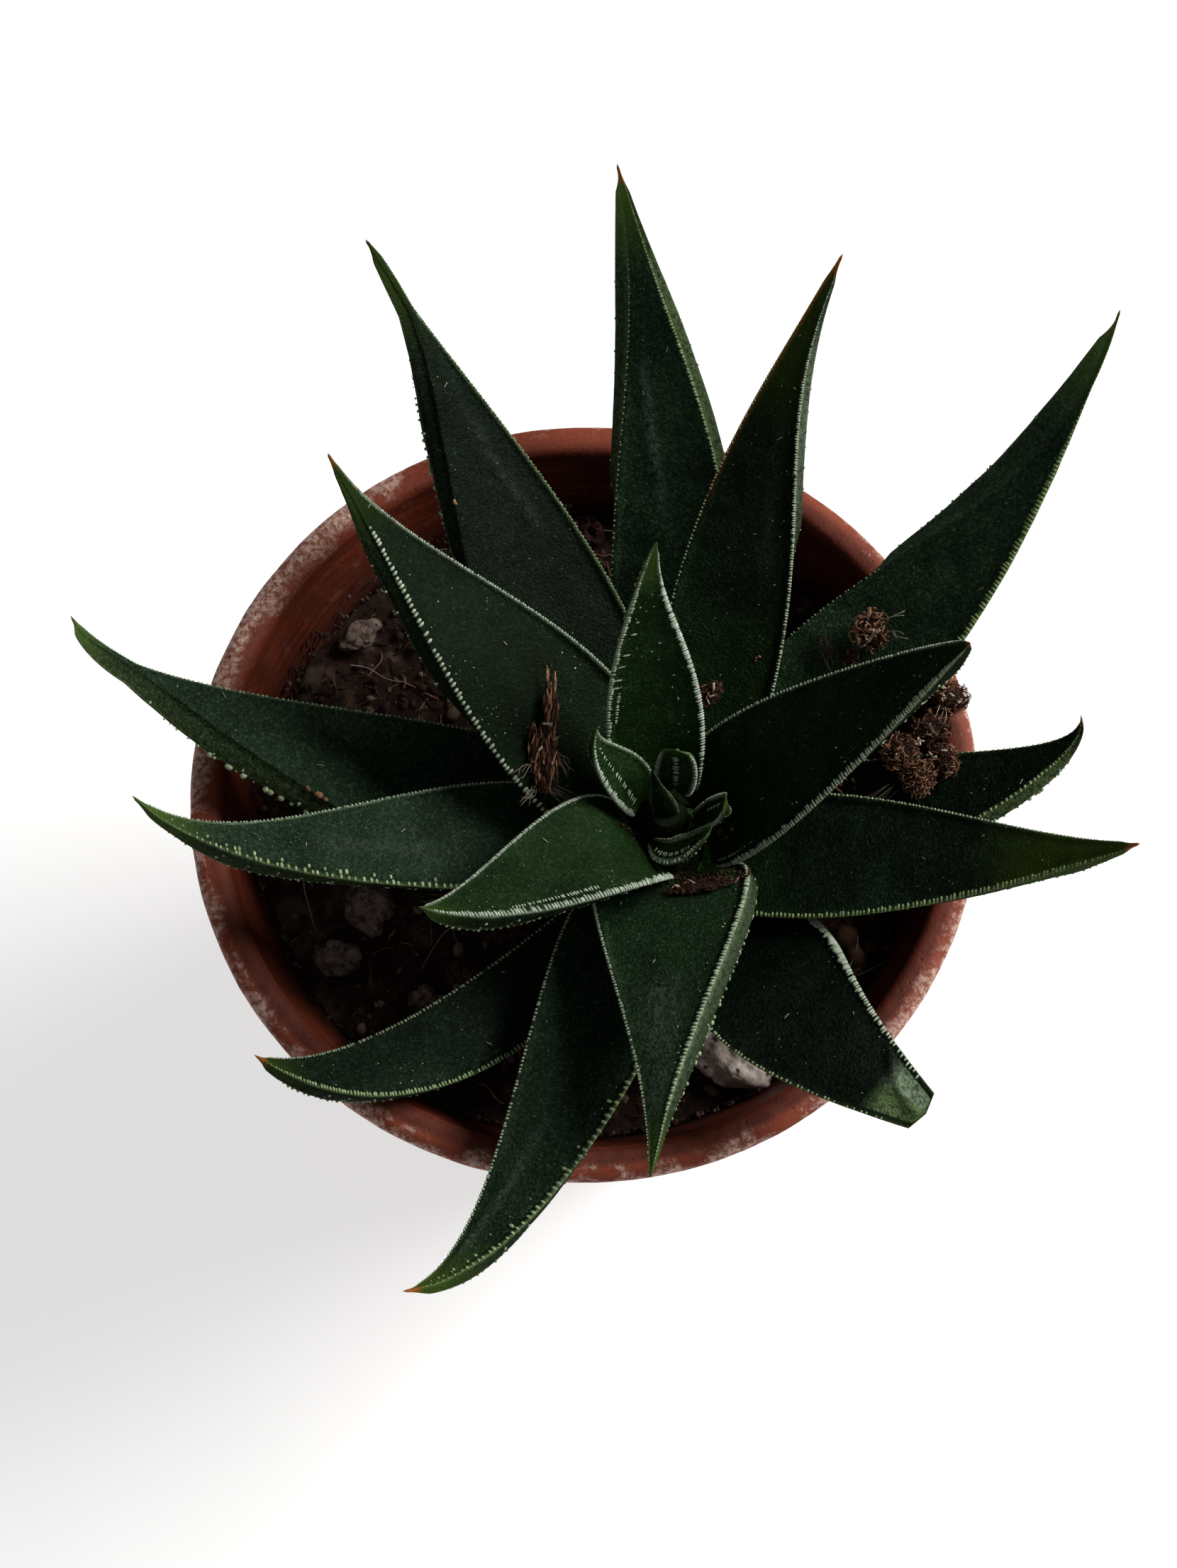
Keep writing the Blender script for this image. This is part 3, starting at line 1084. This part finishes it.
def make_pot():
    """The pot with shallow dents all over and a rougher lip."""
    profile = pot_profile()
    rings, around = len(profile), 288
    turn = TAU * np.arange(around) / around
    radius, height = profile[:, 0:1], profile[:, 1:2]
    points = circle_points(radius, height, turn)
    fired = np.where((height > 3) & (height < POT["height"] - 0.2), 1, 0)
    dent = -DENT * np.abs(rough_noise(points / DENT_WIDTH, 5, 4)) * fired
    points[..., 0] += dent * np.cos(turn)
    points[..., 1] += dent * np.sin(turn)
    lip = height > POT["height"] - 2
    points[..., 2] -= LIP_ROUGH * np.abs(rough_noise(points / LIP_GRAIN, 8, 3)) * lip
    build = Build()
    build.add(points.reshape(-1, 3), (tube_faces(rings + 1, around) % (rings * around),))
    build.piece("pot_skin", [CLAY], ["pot"])


# Soil, stones and peat

# How many crumbs, crumbs on the wall, fibres and fine threads there are
CRUMBS, WALL_CRUMBS, FIBRES, FINE_THREADS = 2600, 500, 620, 46

# The soil's relief over the part's own: how wide and how high its swells and its grain are, and how far
# it all lies lower, in millimetres
SWELL_WIDTH, SWELL_HIGH = 4.6, 0.45
GRAIN_WIDTH, GRAIN_HIGH = 1.15, 0.30
SUNK = 0.25


def fine_soil(x, y):
    flat = np.stack([x, y, 0 * x], -1)
    swell = rough_noise(flat / SWELL_WIDTH, 31, 3)
    grain = rough_noise(flat / GRAIN_WIDTH, 41, 3, 0.6)
    return soil_height(x, y) + SWELL_HIGH * swell + GRAIN_HIGH * grain - SUNK


def make_soil():
    rings, around = 110, 300
    turn = TAU * np.arange(around) / around
    hole = STEM["radius"] + SEAT_GAP
    wall = inner_radius(POT["height"] - SOIL_DEPTH) - 0.12
    share = np.linspace(0, 1, rings)[:, None]
    x = lerp(STEM["x"] + hole * np.cos(turn), wall * np.cos(turn), share)
    y = lerp(STEM["y"] + hole * np.sin(turn), wall * np.sin(turn), share)
    top = np.stack([x, y, fine_soil(x, y)], -1)
    floor = POT["floor_thickness"] + SEAT_GAP
    hole_floor = POT["height"] - SOIL_DEPTH - STEM["buried"] - SEAT_GAP
    rows = np.concatenate([
        circle_points(hole, hole_floor, turn, STEM["x"], STEM["y"])[None], top,
        circle_points(POT["throat"] - 0.4, POT["height"] - POT["throat_depth"], turn)[None],
        circle_points(POT["floor"] - 0.4, floor, turn)[None]])
    ends = np.array([[STEM["x"], STEM["y"], hole_floor], [0, 0, floor]])
    shade = 0.35 * smooth(0.2, 0.9, rough_noise(rows / 2.2, 51, 3))
    build = Build()
    build.add(
        np.concatenate([rows.reshape(-1, 3), ends]), capped_tube(len(rows), around),
        shade=np.concatenate([shade.ravel(), [0, 0]]))
    add_crumbs(build, np.random.default_rng(SEEDS["crumbs"]), CRUMBS)
    add_wall_crumbs(build, np.random.default_rng(SEEDS["wall_crumbs"]), WALL_CRUMBS)
    build.piece("soil_bed", [SOIL_SKIN], ["soil"])


# A crumb's form, how uneven it is and how high against its width
CRUMB, CRUMB_FACES = ico(1)
CRUMB_UNEVEN, CRUMB_HIGH = 0.28, 0.7


def random_turns(rng, count):
    """Random turn matrices."""
    q = unit(rng.normal(size=(count, 4)))
    w, x, y, z = q.T
    return np.stack([
        1 - 2 * (y * y + z * z), 2 * (x * y - w * z), 2 * (x * z + w * y),
        2 * (x * y + w * z), 1 - 2 * (x * x + z * z), 2 * (y * z - w * x),
        2 * (x * z - w * y), 2 * (y * z + w * x), 1 - 2 * (x * x + y * y)], -1).reshape(-1, 3, 3)


def lumps_at(build, rng, places, sizes, shades):
    """Small uneven lumps at places."""
    count = len(places)
    body = CRUMB[None] * (1 + CRUMB_UNEVEN * rng.uniform(-1, 1, (count, len(CRUMB), 1)))
    stretch = [rng.uniform(0.8, 1.3, count), rng.uniform(0.7, 1.1, count), np.full(count, CRUMB_HIGH)]
    body = body * (sizes[:, None, None] * np.stack(stretch, -1)[:, None])
    body = np.einsum("nij,nkj->nki", random_turns(rng, count), body)
    points = places[:, None] + body
    faces = (CRUMB_FACES[None] + (np.arange(count) * len(CRUMB))[:, None, None]).reshape(-1, 3)
    build.add(points.reshape(-1, 3), (faces,), shade=np.repeat(shades, len(CRUMB)))


def soil_places(rng, count, margin):
    wall = inner_radius(POT["height"] - SOIL_DEPTH) - margin
    radius = wall * np.sqrt(rng.uniform(0, 1, count))
    turn = rng.uniform(0, TAU, count)
    x, y = radius * np.cos(turn), radius * np.sin(turn)
    clear = np.hypot(x - STEM["x"], y - STEM["y"]) > STEM["radius"] + 1
    return x[clear], y[clear]


def add_wall_crumbs(build, rng, count):
    """Crumbs that stick to the wall over the soil."""
    turn = rng.uniform(0, TAU, count)
    rise = 4.5 * rng.uniform(0, 1, count) ** 2
    height = POT["height"] - SOIL_DEPTH + rise
    sizes = rng.uniform(0.12, 0.45, count)
    places = circle_points(inner_radius(height) - 0.35 - 0.3 * sizes, height, turn)
    lumps_at(build, rng, places, sizes, 0.6 * rng.uniform(0, 1, count) ** 2)


def add_crumbs(build, rng, count):
    x, y = soil_places(rng, count, 1.2)
    sizes = 0.13 + 0.75 * rng.uniform(0, 1, len(x)) ** 4
    places = np.stack([x, y, fine_soil(x, y) + 0.25 * sizes], -1)
    shades = np.where(rng.uniform(0, 1, len(x)) < 0.34, rng.uniform(0.3, 1.0, len(x)), 0.10)
    lumps_at(build, rng, places, sizes, shades)


def wavy(rng, start, heading, length, steps, bend):
    """A wandering line on the level, as x and y."""
    turns = heading + np.cumsum(rng.normal(0, bend / math.sqrt(steps), steps))
    pace = length / steps
    x = start[0] + np.cumsum(np.cos(turns)) * pace
    y = start[1] + np.cumsum(np.sin(turns)) * pace
    return np.concatenate([[start[0]], x]), np.concatenate([[start[1]], y])


def on_soil(x, y, lift):
    """A line laid on the soil, kept inside the wall."""
    wall = inner_radius(POT["height"] - SOIL_DEPTH) - 0.7
    radius = np.hypot(x, y)
    pull = np.minimum(1, wall / np.maximum(radius, 1e-6))
    x, y = x * pull, y * pull
    return np.stack([x, y, fine_soil(x, y) + lift], -1)


# Segments of a fibre and of a thread, and the radius of a fine thread in millimetres
FIBRE_STEPS, THREAD_STEPS, FINE_RADIUS = 6, 16, 0.045

# Bits of bark on the soil at the right: the place and the size in millimetres
BARK_BITS = np.array([
    (30.4, -15.6, 1.5), (31.6, -18.2, 1.9), (30.6, -20.2, 1.3), (33.0, -16.6, 1.2), (24.6, -24.5, 0.9)])


def make_fibres():
    """Short peat fibres strewn on the soil."""
    rng = np.random.default_rng(SEEDS["fibres"])
    build = Build()
    x, y = soil_places(rng, FIBRES, 2.0)
    for px, py in zip(x, y):
        length = rng.uniform(1.2, 4.5)
        lx, ly = wavy(rng, (px, py), rng.uniform(0, TAU), length, FIBRE_STEPS, 0.9)
        radius = rng.uniform(0.045, 0.16)
        arch = 0.35 * np.sin(np.linspace(0, math.pi, FIBRE_STEPS + 1)) * rng.uniform(0, 1)
        path = on_soil(lx, ly, radius + arch)
        taper = radius * (0.35 + 0.65 * np.sin(np.linspace(0.25, math.pi - 0.25, FIBRE_STEPS + 1)))
        sweep(build, path, taper, 4, 0, flat=rng.uniform(0.4, 1.0), shade=0.7 * rng.uniform(0, 1) ** 2)
    x, y, sizes = BARK_BITS.T
    lumps_at(build, rng, np.stack([x, y, fine_soil(x, y) + 0.4 * sizes], -1), sizes, 0.10 + 0 * sizes)
    build.piece("peat_fibres", [PEAT_SKIN])


# Pale root threads seen on the soil, as points in millimetres with a height over the soil
THREADS = [
    [(-34.6, 12.2, 2.6), (-31.5, 11.2, 1.6), (-29.5, 10.4, 1.2), (-26.6, 7.6, 0.9), (-24.6, 5.0, 0.6)],
    [(-28.2, 18.5, 1.6), (-26.2, 18.2, 1.3), (-23.8, 16.9, 0.9), (-21.6, 16.6, 0.7)],
    [(-22.4, 31.9, 3.2), (-19.6, 32.2, 3.6), (-16.6, 32.8, 3.4)],
    [(-20.8, 31.5, 3.0), (-19.2, 29.2, 2.2), (-17.6, 26.3, 1.2)],
    [(-5.2, 33.9, 2.5), (-2.0, 32.4, 2.0), (2.2, 29.4, 1.2), (4.2, 27.6, 0.6)],
    [(1.2, 36.0, 1.4), (4.4, 35.6, 1.2), (6.4, 35.4, 0.9)],
    [(31.2, -20.4, 1.4), (34.4, -18.9, 1.8), (36.4, -18.0, 2.0)],
    [(30.3, -19.8, 1.6), (31.0, -17.8, 2.4), (31.4, -15.9, 2.6)],
    [(-32.9, -6.6, 3.0), (-32.6, -10.4, 2.2), (-31.4, -14.2, 1.5)],
    [(-13.4, -12.6, 1.0), (-16.6, -15.0, 0.8), (-19.0, -19.0, 0.6)],
]


def curve_through(points, count):
    """A smooth line through a few points."""
    points = np.asarray(points, float)
    ends = np.concatenate([2 * points[:1] - points[1:2], points, 2 * points[-1:] - points[-2:-1]])
    line = []
    spans = len(points) - 1
    for place in np.linspace(0, spans, count):
        i = min(int(place), spans - 1)
        f = place - i
        a, b, c, d = ends[i:i + 4]
        bend, twist = 2 * a - 5 * b + 4 * c - d, 3 * b - a - 3 * c + d
        line.append(0.5 * (2 * b + (c - a) * f + bend * f**2 + twist * f**3))
    return np.array(line)


def make_threads():
    rng = np.random.default_rng(SEEDS["threads"])
    build = Build()
    for points in THREADS:
        line = curve_through(points, 26)
        line[:, 2] += soil_height(line[:, 0], line[:, 1])
        line += 0.12 * np.stack([noise(line / 1.7 + k * 9.1, 3) for k in range(3)], -1)
        radius = 0.075 * (1 - 0.5 * np.linspace(0, 1, len(line)))
        sweep(build, line, radius, 5, shade=rng.uniform(0.45, 1.0))
    x, y = soil_places(rng, FINE_THREADS, 3.0)
    for px, py in zip(x, y):
        lx, ly = wavy(rng, (px, py), rng.uniform(0, TAU), rng.uniform(4, 11), THREAD_STEPS, 1.6)
        arch = 0.9 * np.sin(np.linspace(0, math.pi, THREAD_STEPS + 1)) * rng.uniform(0, 1)
        sweep(build, on_soil(lx, ly, 0.1 + arch), FINE_RADIUS, 4, shade=rng.uniform(0.1, 0.8))
    build.piece("root_threads", [THREAD_SKIN])


# The stones: their radii as in the part's source, the turn in degrees and how brown they are
STONES = [
    ("pumice_large", (5.2, 3.6, 3.2), -25, 0.0), ("pumice_left", (2.6, 3.2, 2.0), 20, 0.9),
    ("pumice_round", (2.6, 2.0, 1.7), 10, 0.85), ("pumice_small", (1.9, 1.5, 1.3), 0, 0.95),
    ("pumice_back", (2.6, 1.5, 1.2), 35, 0.9), ("bark_chip", (1.6, 1.2, 2.8), 15, 0.0),
]
LUMP_SOLE, LUMP_SWELL, LUMP_PIT = 0.55, 0.13, 0.07


def lump(radii, seed, subdivisions, rough, grain):
    """The part's uneven lump, with finer roughness."""
    points, faces = ico(subdivisions)
    x, y, z = points.T
    swell = LUMP_SWELL * np.sin(4.1 * x + seed) * np.cos(3.7 * y - 1.3 * seed)
    pit = LUMP_PIT * np.sin(7.3 * z + 5.1 * x + 2 * seed)
    size = 1 + swell + pit
    placed = points * size[:, None] * np.array(radii)
    fine = rough_noise(placed / grain, seed + 60, 4, 0.6)
    placed *= (1 + rough * np.minimum(fine, 0.25) / np.mean(radii))[:, None]
    placed[:, 2] = np.maximum(placed[:, 2], -LUMP_SOLE * radii[2])
    return placed, faces


def level_turn(x, y, degrees):
    c, s = math.cos(math.radians(degrees)), math.sin(math.radians(degrees))
    return x * c - y * s, x * s + y * c


def make_stone(index, name, radii, turn, shade):
    placed, faces = lump(radii, index + 1, 5, 0.55, 1.1)
    placed[:, :2] = np.stack(level_turn(placed[:, 0], placed[:, 1], turn), -1)
    low, high = (np.array(corner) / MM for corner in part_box(name))
    placed[:, :2] += 0.5 * (low + high - placed.min(0) - placed.max(0))[:2]
    placed[:, 2] += low[2] - placed[:, 2].min()
    build = Build()
    build.add(placed, (faces,), shade=shade)
    slot = "bark" if name == "bark_chip" else "pumice"
    build.piece(name + "_skin", [PEAT_SKIN if slot == "bark" else PUMICE_SKIN], [name])


# Peat on leaves: the place and form as in the part's source, and the bundles of fibres it is made of.
# A bundle: its middle and radii in the lump's own axes, the way its fibres lie and how far they turn off
# it, how many, their longest length, their thickest radius and the share that is pale
CLUMPS = [
    {"name": "peat_on_leaf_13", "leaf": 13, "t": 0.27, "across": -2.2, "radii": (7, 1.8, 1.3), "turn": 48,
     "bundles": [((5.3, -0.45, 0.1), (1.4, 0.12, 0.16), (1, 0, 0), 0.03, 16, 2.2, 0.09, 0.7),
                 ((5.0, -1.30, 0.1), (1.2, 0.12, 0.16), (1, 0, 0), 0.03, 14, 1.8, 0.09, 0.6),
                 ((1.8, -0.85, 0.1), (3.0, 0.85, 0.8), (1, 0, 0), 0.10, 150, 2.0, 0.09, 0.35),
                 ((-3.2, -0.30, 0.0), (3.6, 1.5, 1.1), (1, 0, 0), 0.16, 250, 2.0, 0.10, 0.35),
                 ((-2.0, 1.20, -0.1), (2.6, 0.6, 0.6), (1, 0, 0), 0.16, 70, 1.4, 0.08, 0.4)], "chips": 4},
    {"name": "peat_on_leaf_06", "leaf": 6, "t": 0.37, "across": -1.4, "radii": (2.5, 2, 1.5), "turn": 0,
     "bundles": [((0.5, 0.7, 0.4), (2.4, 1.7, 1.1), (1, 0, 0), 1.0, 140, 1.9, 0.12, 0.85),
                 ((0.2, -0.7, 0.0), (1.7, 1.3, 0.9), (0, 1, 0), 1.0, 90, 1.2, 0.11, 0.4),
                 ((-3.3, -0.3, -0.3), (1.2, 0.8, 0.4), (1, 0, 0), 1.2, 50, 1.0, 0.08, 0.3)], "chips": 9},
    {"name": "peat_on_leaf_01", "leaf": 1, "t": 0.5, "across": -4, "radii": (4, 4.3, 2), "turn": 0,
     "bundles": [((-1.8, 1.4, 0.3), (1.9, 2.5, 1.3), (0.3, -1, 0), 1.3, 330, 0.9, 0.075, 0.6),
                 ((-0.7, -1.9, 0.2), (1.7, 2.4, 1.2), (0.3, -1, 0), 1.3, 330, 0.9, 0.075, 0.6),
                 ((1.9, -0.6, -0.1), (1.7, 2.2, 0.9), (1, 0, 0), 1.2, 150, 1.3, 0.09, 0.25),
                 ((1.6, 3.2, 0.2), (1.9, 1.7, 1.1), (1, 1, 0), 1.2, 130, 1.5, 0.11, 0.08)], "chips": 9},
    {"name": "peat_on_leaf_12", "leaf": 12, "t": 0.155, "across": -0.2, "radii": (1.7, 1.2, 0.8), "turn": 48,
     "bundles": [((0, 0, 0), (1.6, 1.1, 0.7), (1, 0, 0), 1.3, 90, 0.9, 0.09, 0.12)], "chips": 3},
    {"name": "peat_on_leaf_11", "leaf": 11, "t": 0.27, "across": -3.3, "radii": (1.3, 4.4, 0.7), "turn": 0,
     "bundles": [((0, 0, -0.1), (1.2, 4.2, 0.5), (0, 1, 0), 1.2, 170, 1.0, 0.08, 0.05)], "chips": 3},
]

# The clump on the lip: its heading in degrees, and the crumbs that spill from it towards the soil
RIM_PEAT = {
    "name": "peat_on_rim", "heading": 13, "radii": (2.4, 2, 1.4),
    "bundles": [((0, 0, 0), (2.2, 1.8, 1.2), (1, 0, 0), 1.3, 170, 1.7, 0.11, 0.12)], "chips": 7,
    "spill": {"count": 110, "middle": (-3.2, -1.9, -1.6), "spread": (0.9, 1.2, 0.5)},
}
CORE_SHARE = 0.74

# Pale hairs by a clump, in its own axes: the start, the way they reach, how many and how pale
HAIRS = {
    "peat_on_leaf_13": [
        ((-6.2, 1.2, 0.2), (-1.6, 1.6, 0.3), 7, 0.6), ((-6.0, -0.8, 0.2), (-1.2, -2.2, 0.4), 9, 0.55),
        ((-4.0, 2.0, 0.2), (-1.4, 1.4, 0.2), 5, 0.4), ((-2.5, -1.6, 0.1), (-1.6, -1.8, 0.2), 6, 0.3)],
    "peat_on_leaf_06": [
        ((1.8, 0.6, 0.4), (3.0, -1.4, 0.2), 2, 1.0), ((1.9, -1.4, 0.2), (1.6, -2.4, 0.1), 3, 1.0),
        ((-5.2, 3.2, -0.7), (-1.0, -3.2, 0.1), 5, 0.4), ((-4.0, 2.2, -0.7), (-2.4, 1.0, 0.1), 6, 0.12),
        ((-5.6, 1.8, -0.7), (1.4, 2.4, 0.1), 7, 0.1)],
    "peat_on_leaf_01": [
        ((1.0, 3.4, 1.0), (1.0, -2.6, 0.5), 2, 0.8), ((-3.2, -1.6, -0.4), (-3.4, -1.6, 0.1), 6, 0.45)],
    "peat_on_rim": [((-1.2, -1.0, 0.3), (-2.0, -3.0, -0.6), 3, 0.9)],
}


def add_hairs(build, rng, place, rows):
    for start, reach, count, shade in rows:
        for _ in range(count):
            steps = np.linspace(0, 1, 9)[:, None]
            first = np.array(start) + rng.normal(0, 0.35, 3) * (1, 1, 0.3)
            way = np.array(reach) * rng.uniform(0.5, 1.1) + rng.normal(0, 0.35, 3) * (1, 1, 0.2)
            aside = rng.normal(0, 0.3, 3) * (1, 1, 0)
            path = first + way * steps + aside * np.sin(math.pi * steps)
            path[:, 2] += rng.uniform(0.1, 0.4) * np.sin(math.pi * steps[:, 0])
            sweep(build, place(path), rng.uniform(0.03, 0.055), 4, 1, shade=shade * rng.uniform(0.6, 1))


def add_bundle(build, rng, place, middle, radii, way, spread, count, longest, thickest, pale):
    """Fibres over a dark core. place moves points from the clump's own axes."""
    middle, radii = np.array(middle), np.array(radii)
    core, faces = lump(radii * CORE_SHARE, count, 2, 0.3, 0.8)
    build.add(place(core + middle), (faces,), shade=0.0)
    for _ in range(count):
        start = unit(rng.normal(size=3)) * radii * rng.uniform(0.7, 1.0)
        heading = unit(np.array(way) + spread * rng.normal(size=3))
        length = rng.uniform(0.3, 1.0) * longest
        steps = np.linspace(-0.5, 0.5, 6)[:, None]
        bend = rng.normal(0, 0.22, 3) * min(1, 2 * spread)
        path = start + heading * length * steps + bend * length * (1 - 4 * steps**2)
        reach = np.sqrt(np.sum((path / (radii * 1.12 + 0.05)) ** 2, -1))
        path = middle + path / np.maximum(1, reach)[:, None]
        radius = thickest * rng.uniform(0.5, 1)
        shade = rng.uniform(0.6, 1) if rng.uniform() < pale else rng.uniform(0, 0.22)
        taper = radius * np.array([0.4, 1, 1, 1, 0.9, 0.4])
        sweep(build, place(path), taper, 4, flat=rng.uniform(0.6, 1), shade=shade)


def add_chips(build, rng, place, radii, count):
    """Short pale flakes on top of a clump."""
    for _ in range(count):
        start = unit(rng.normal(size=3)) * radii * 0.6
        inside = max(0, 1 - (start[0] / radii[0]) ** 2 - (start[1] / radii[1]) ** 2)
        start[2] = 0.8 * radii[2] * math.sqrt(inside)
        heading = unit(rng.normal(size=3) * (1, 1, 0.3))
        path = start + heading * rng.uniform(0.4, 0.9) * np.linspace(-0.5, 0.5, 4)[:, None]
        sweep(build, place(path), rng.uniform(0.1, 0.17), 5, 1, flat=0.4, shade=rng.uniform(0.6, 1))


def add_spill(build, rng, place, spill):
    """Crumbs that have fallen from a clump."""
    places = rng.normal(0, 1, (spill["count"], 3)) * spill["spread"] + spill["middle"]
    shades = rng.choice((0.0, 0.3, 1.0), len(places), p=(0.6, 0.25, 0.15))
    lumps_at(build, rng, place(places), rng.uniform(0.15, 0.5, len(places)), shades)


def make_tuft(look, seed, place):
    """A clump of fibre bundles, flakes and hairs. Its bundles stay over its flat sole."""
    build = Build()
    rng = np.random.default_rng(seed)
    sole = -LUMP_SOLE * look["radii"][2] + 0.1

    def place_over_sole(points):
        return place(np.concatenate([points[:, :2], np.maximum(points[:, 2:], sole)], 1))

    for bundle in look["bundles"]:
        add_bundle(build, rng, place_over_sole, *bundle)
    add_chips(build, rng, place, np.array(look["radii"]), look["chips"])
    add_hairs(build, rng, place, HAIRS.get(look["name"], ()))
    if "spill" in look:
        add_spill(build, rng, place, look["spill"])
    build.piece(look["name"] + "_tuft", [PEAT_SKIN, THREAD_SKIN], [look["name"]])


def make_clump(index, look):
    """A clump on a leaf's upper face."""
    leaf = LEAVES[look["leaf"] - 1]
    straight = float(np.linalg.norm(midline(leaf, 1) - midline(leaf, 0)))
    lift = LUMP_SOLE * look["radii"][2] + SEAT_GAP

    def place(points):
        x, y, z = np.asarray(points).T
        along, across = level_turn(x, -y, look["turn"])
        t, across = np.maximum(0, look["t"] + along / straight), look["across"] + across
        return blade_points(leaf, t, across, lift + face_height(leaf, t, across) + z)

    make_tuft(look, SEEDS["clump"] + index, place)


def make_rim_peat():
    reach = 0.5 * (POT["rim"] + POT["mouth"])
    lift = POT["height"] + LUMP_SOLE * RIM_PEAT["radii"][2] + SEAT_GAP * 0.3

    def place(points):
        x, y, z = np.asarray(points).T
        return np.stack([*level_turn(x + reach, y, RIM_PEAT["heading"]), z + lift], -1)

    make_tuft(RIM_PEAT, SEEDS["rim"], place)


# Loose crumbs on the upper faces: the leaf, the place along and across, how far they spread there,
# how many, their largest size and how pale they are
DEBRIS = [
    (11, 0.20, -3.5, 0.035, 3.2, 170, 0.24, 0.14), (11, 0.16, 2.5, 0.03, 1.8, 70, 0.24, 0.14),
    (15, 0.05, 2.0, 0.03, 0.8, 30, 0.24, 0.2), (14, 0.10, 2.2, 0.03, 0.8, 24, 0.24, 0.2),
    (10, 0.53, -5.6, 0.004, 0.2, 4, 0.34, 1.0), (10, 0.57, -3.4, 0.003, 0.2, 2, 0.22, 0.9),
    (12, 0.75, 1.2, 0.003, 0.15, 2, 0.24, 1.0), (4, 0.50, -7.6, 0.01, 0.3, 5, 0.4, 0.7),
    (12, 0.22, 4.2, 0.004, 0.2, 3, 0.26, 0.9), (1, 0.30, -4.4, 0.03, 0.8, 40, 0.35, 0.5),
]
# Bits of lint on each large leaf
LINT = 2


def add_lint(build, leaf, rng):
    t0, share = rng.uniform(0.25, 0.8), rng.uniform(-0.7, 0.7)
    turn, length = rng.uniform(0, TAU), rng.uniform(0.3, 0.8)
    steps = np.linspace(-0.5, 0.5, 5)
    t = t0 + steps * math.cos(turn) * length / blade_length(leaf)
    across = share * blade_size(leaf, t0)[0] + steps * math.sin(turn) * length
    path = blade_points(leaf, t, across, face_height(leaf, t, across) + 0.12)
    sweep(build, path, FINE_RADIUS, 4, 1, shade=rng.uniform(0.6, 1))


def make_debris():
    """Loose crumbs and lint on the leaves."""
    rng = np.random.default_rng(SEEDS["debris"])
    build = Build()
    for number, t0, across0, spread_t, spread_across, count, size, shade in DEBRIS:
        leaf = LEAVES[number - 1]
        t = np.maximum(0.01, t0 + spread_t * rng.normal(size=count))
        half = blade_size(leaf, t)[0]
        across = np.clip(across0 + spread_across * rng.normal(size=count), -half, half)
        sizes = size * rng.uniform(0.35, 1, count)
        places = blade_points(leaf, t, across, face_height(leaf, t, across) + 0.5 * sizes)
        lumps_at(build, rng, places, sizes, shade * rng.uniform(0.5, 1, count))
    for leaf in LEAVES[:LARGE_LEAVES]:
        for _ in range(LINT):
            add_lint(build, leaf, rng)
    build.piece("loose_crumbs", [PEAT_SKIN, THREAD_SKIN])


# Camera, floor and light

# Places are in metres
LENS_MM, SENSOR_MM, NEAR, FAR = 52.55, 36, 0.01, 20
EYE, AIM = (0, -0.07761, 0.32815), (0.00042, -0.00018, 0.080)
FLOOR_HALF, FLOOR_COLOUR, FLOOR_GLOW = 4, (0.54, 0.54, 0.535), 0.66

# The sky's strength, where the lights aim, and each light's place, width, power in watts and colour
SKY_STRENGTH, LIGHT_AIM = 0.12, (0, 0, 0.08)
LIGHTS = {
    "window": ((1.10, 0.51, 0.96), 0.8, 30, (1, 0.99, 0.97)),
    "fill": ((0.1, -1.1, 1.2), 1.2, 1.0, (0.96, 0.98, 1)),
}


def look_at(made, place, aim):
    made.location = place
    made.rotation_mode = "QUATERNION"
    made.rotation_quaternion = (Vector(aim) - Vector(place)).to_track_quat("-Z", "Y")


def make_camera():
    data = bpy.data.cameras.new("camera")
    data.sensor_fit = "AUTO"
    data.sensor_width = SENSOR_MM
    data.lens = LENS_MM
    data.clip_start, data.clip_end = NEAR, FAR
    made = add_object("camera", data)
    look_at(made, EYE, AIM)
    bpy.context.scene.camera = made


def make_floor():
    s = Shader("floor")
    s.finish(FLOOR_COLOUR, 0.9, 0.1)
    s.put(s.skin.inputs["Emission Color"], (1, 1, 1))
    s.put(s.skin.inputs["Emission Strength"], FLOOR_GLOW)
    mesh = bpy.data.meshes.new("floor")
    corners = [(x * FLOOR_HALF, y * FLOOR_HALF, 0) for x, y in ((-1, -1), (1, -1), (1, 1), (-1, 1))]
    mesh.from_pydata(corners, [], [(0, 1, 2, 3)])
    mesh.materials.append(s.material)
    made = add_object("floor", mesh)
    made.visible_glossy = False


def area_light(name, place, size, power, colour):
    data = bpy.data.lights.new(name, "AREA")
    data.shape = "DISK"
    data.size = size
    data.energy = power
    data.color = colour
    look_at(add_object(name, data), place, LIGHT_AIM)


def make_light():
    world = bpy.data.worlds.new("studio")
    world.use_nodes = True
    sky = world.node_tree.nodes["Background"]
    sky.inputs["Color"].default_value = (1, 1, 1, 1)
    sky.inputs["Strength"].default_value = SKY_STRENGTH
    bpy.context.scene.world = world
    for name, look in LIGHTS.items():
        area_light(name, *look)


bpy.context.scene.view_settings.view_transform = "Standard"
make_camera()
make_floor()
make_light()
make_pot()
make_soil()
make_fibres()
make_threads()
for number, stone in enumerate(STONES):
    make_stone(number, *stone)
for leaf in LEAVES:
    make_leaf(leaf)
make_bud()
for number, clump in enumerate(CLUMPS):
    make_clump(number, clump)
make_rim_peat()
make_debris()
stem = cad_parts["stem"]
stem.data.materials.clear()
stem.data.materials.append(STEM_SKIN)
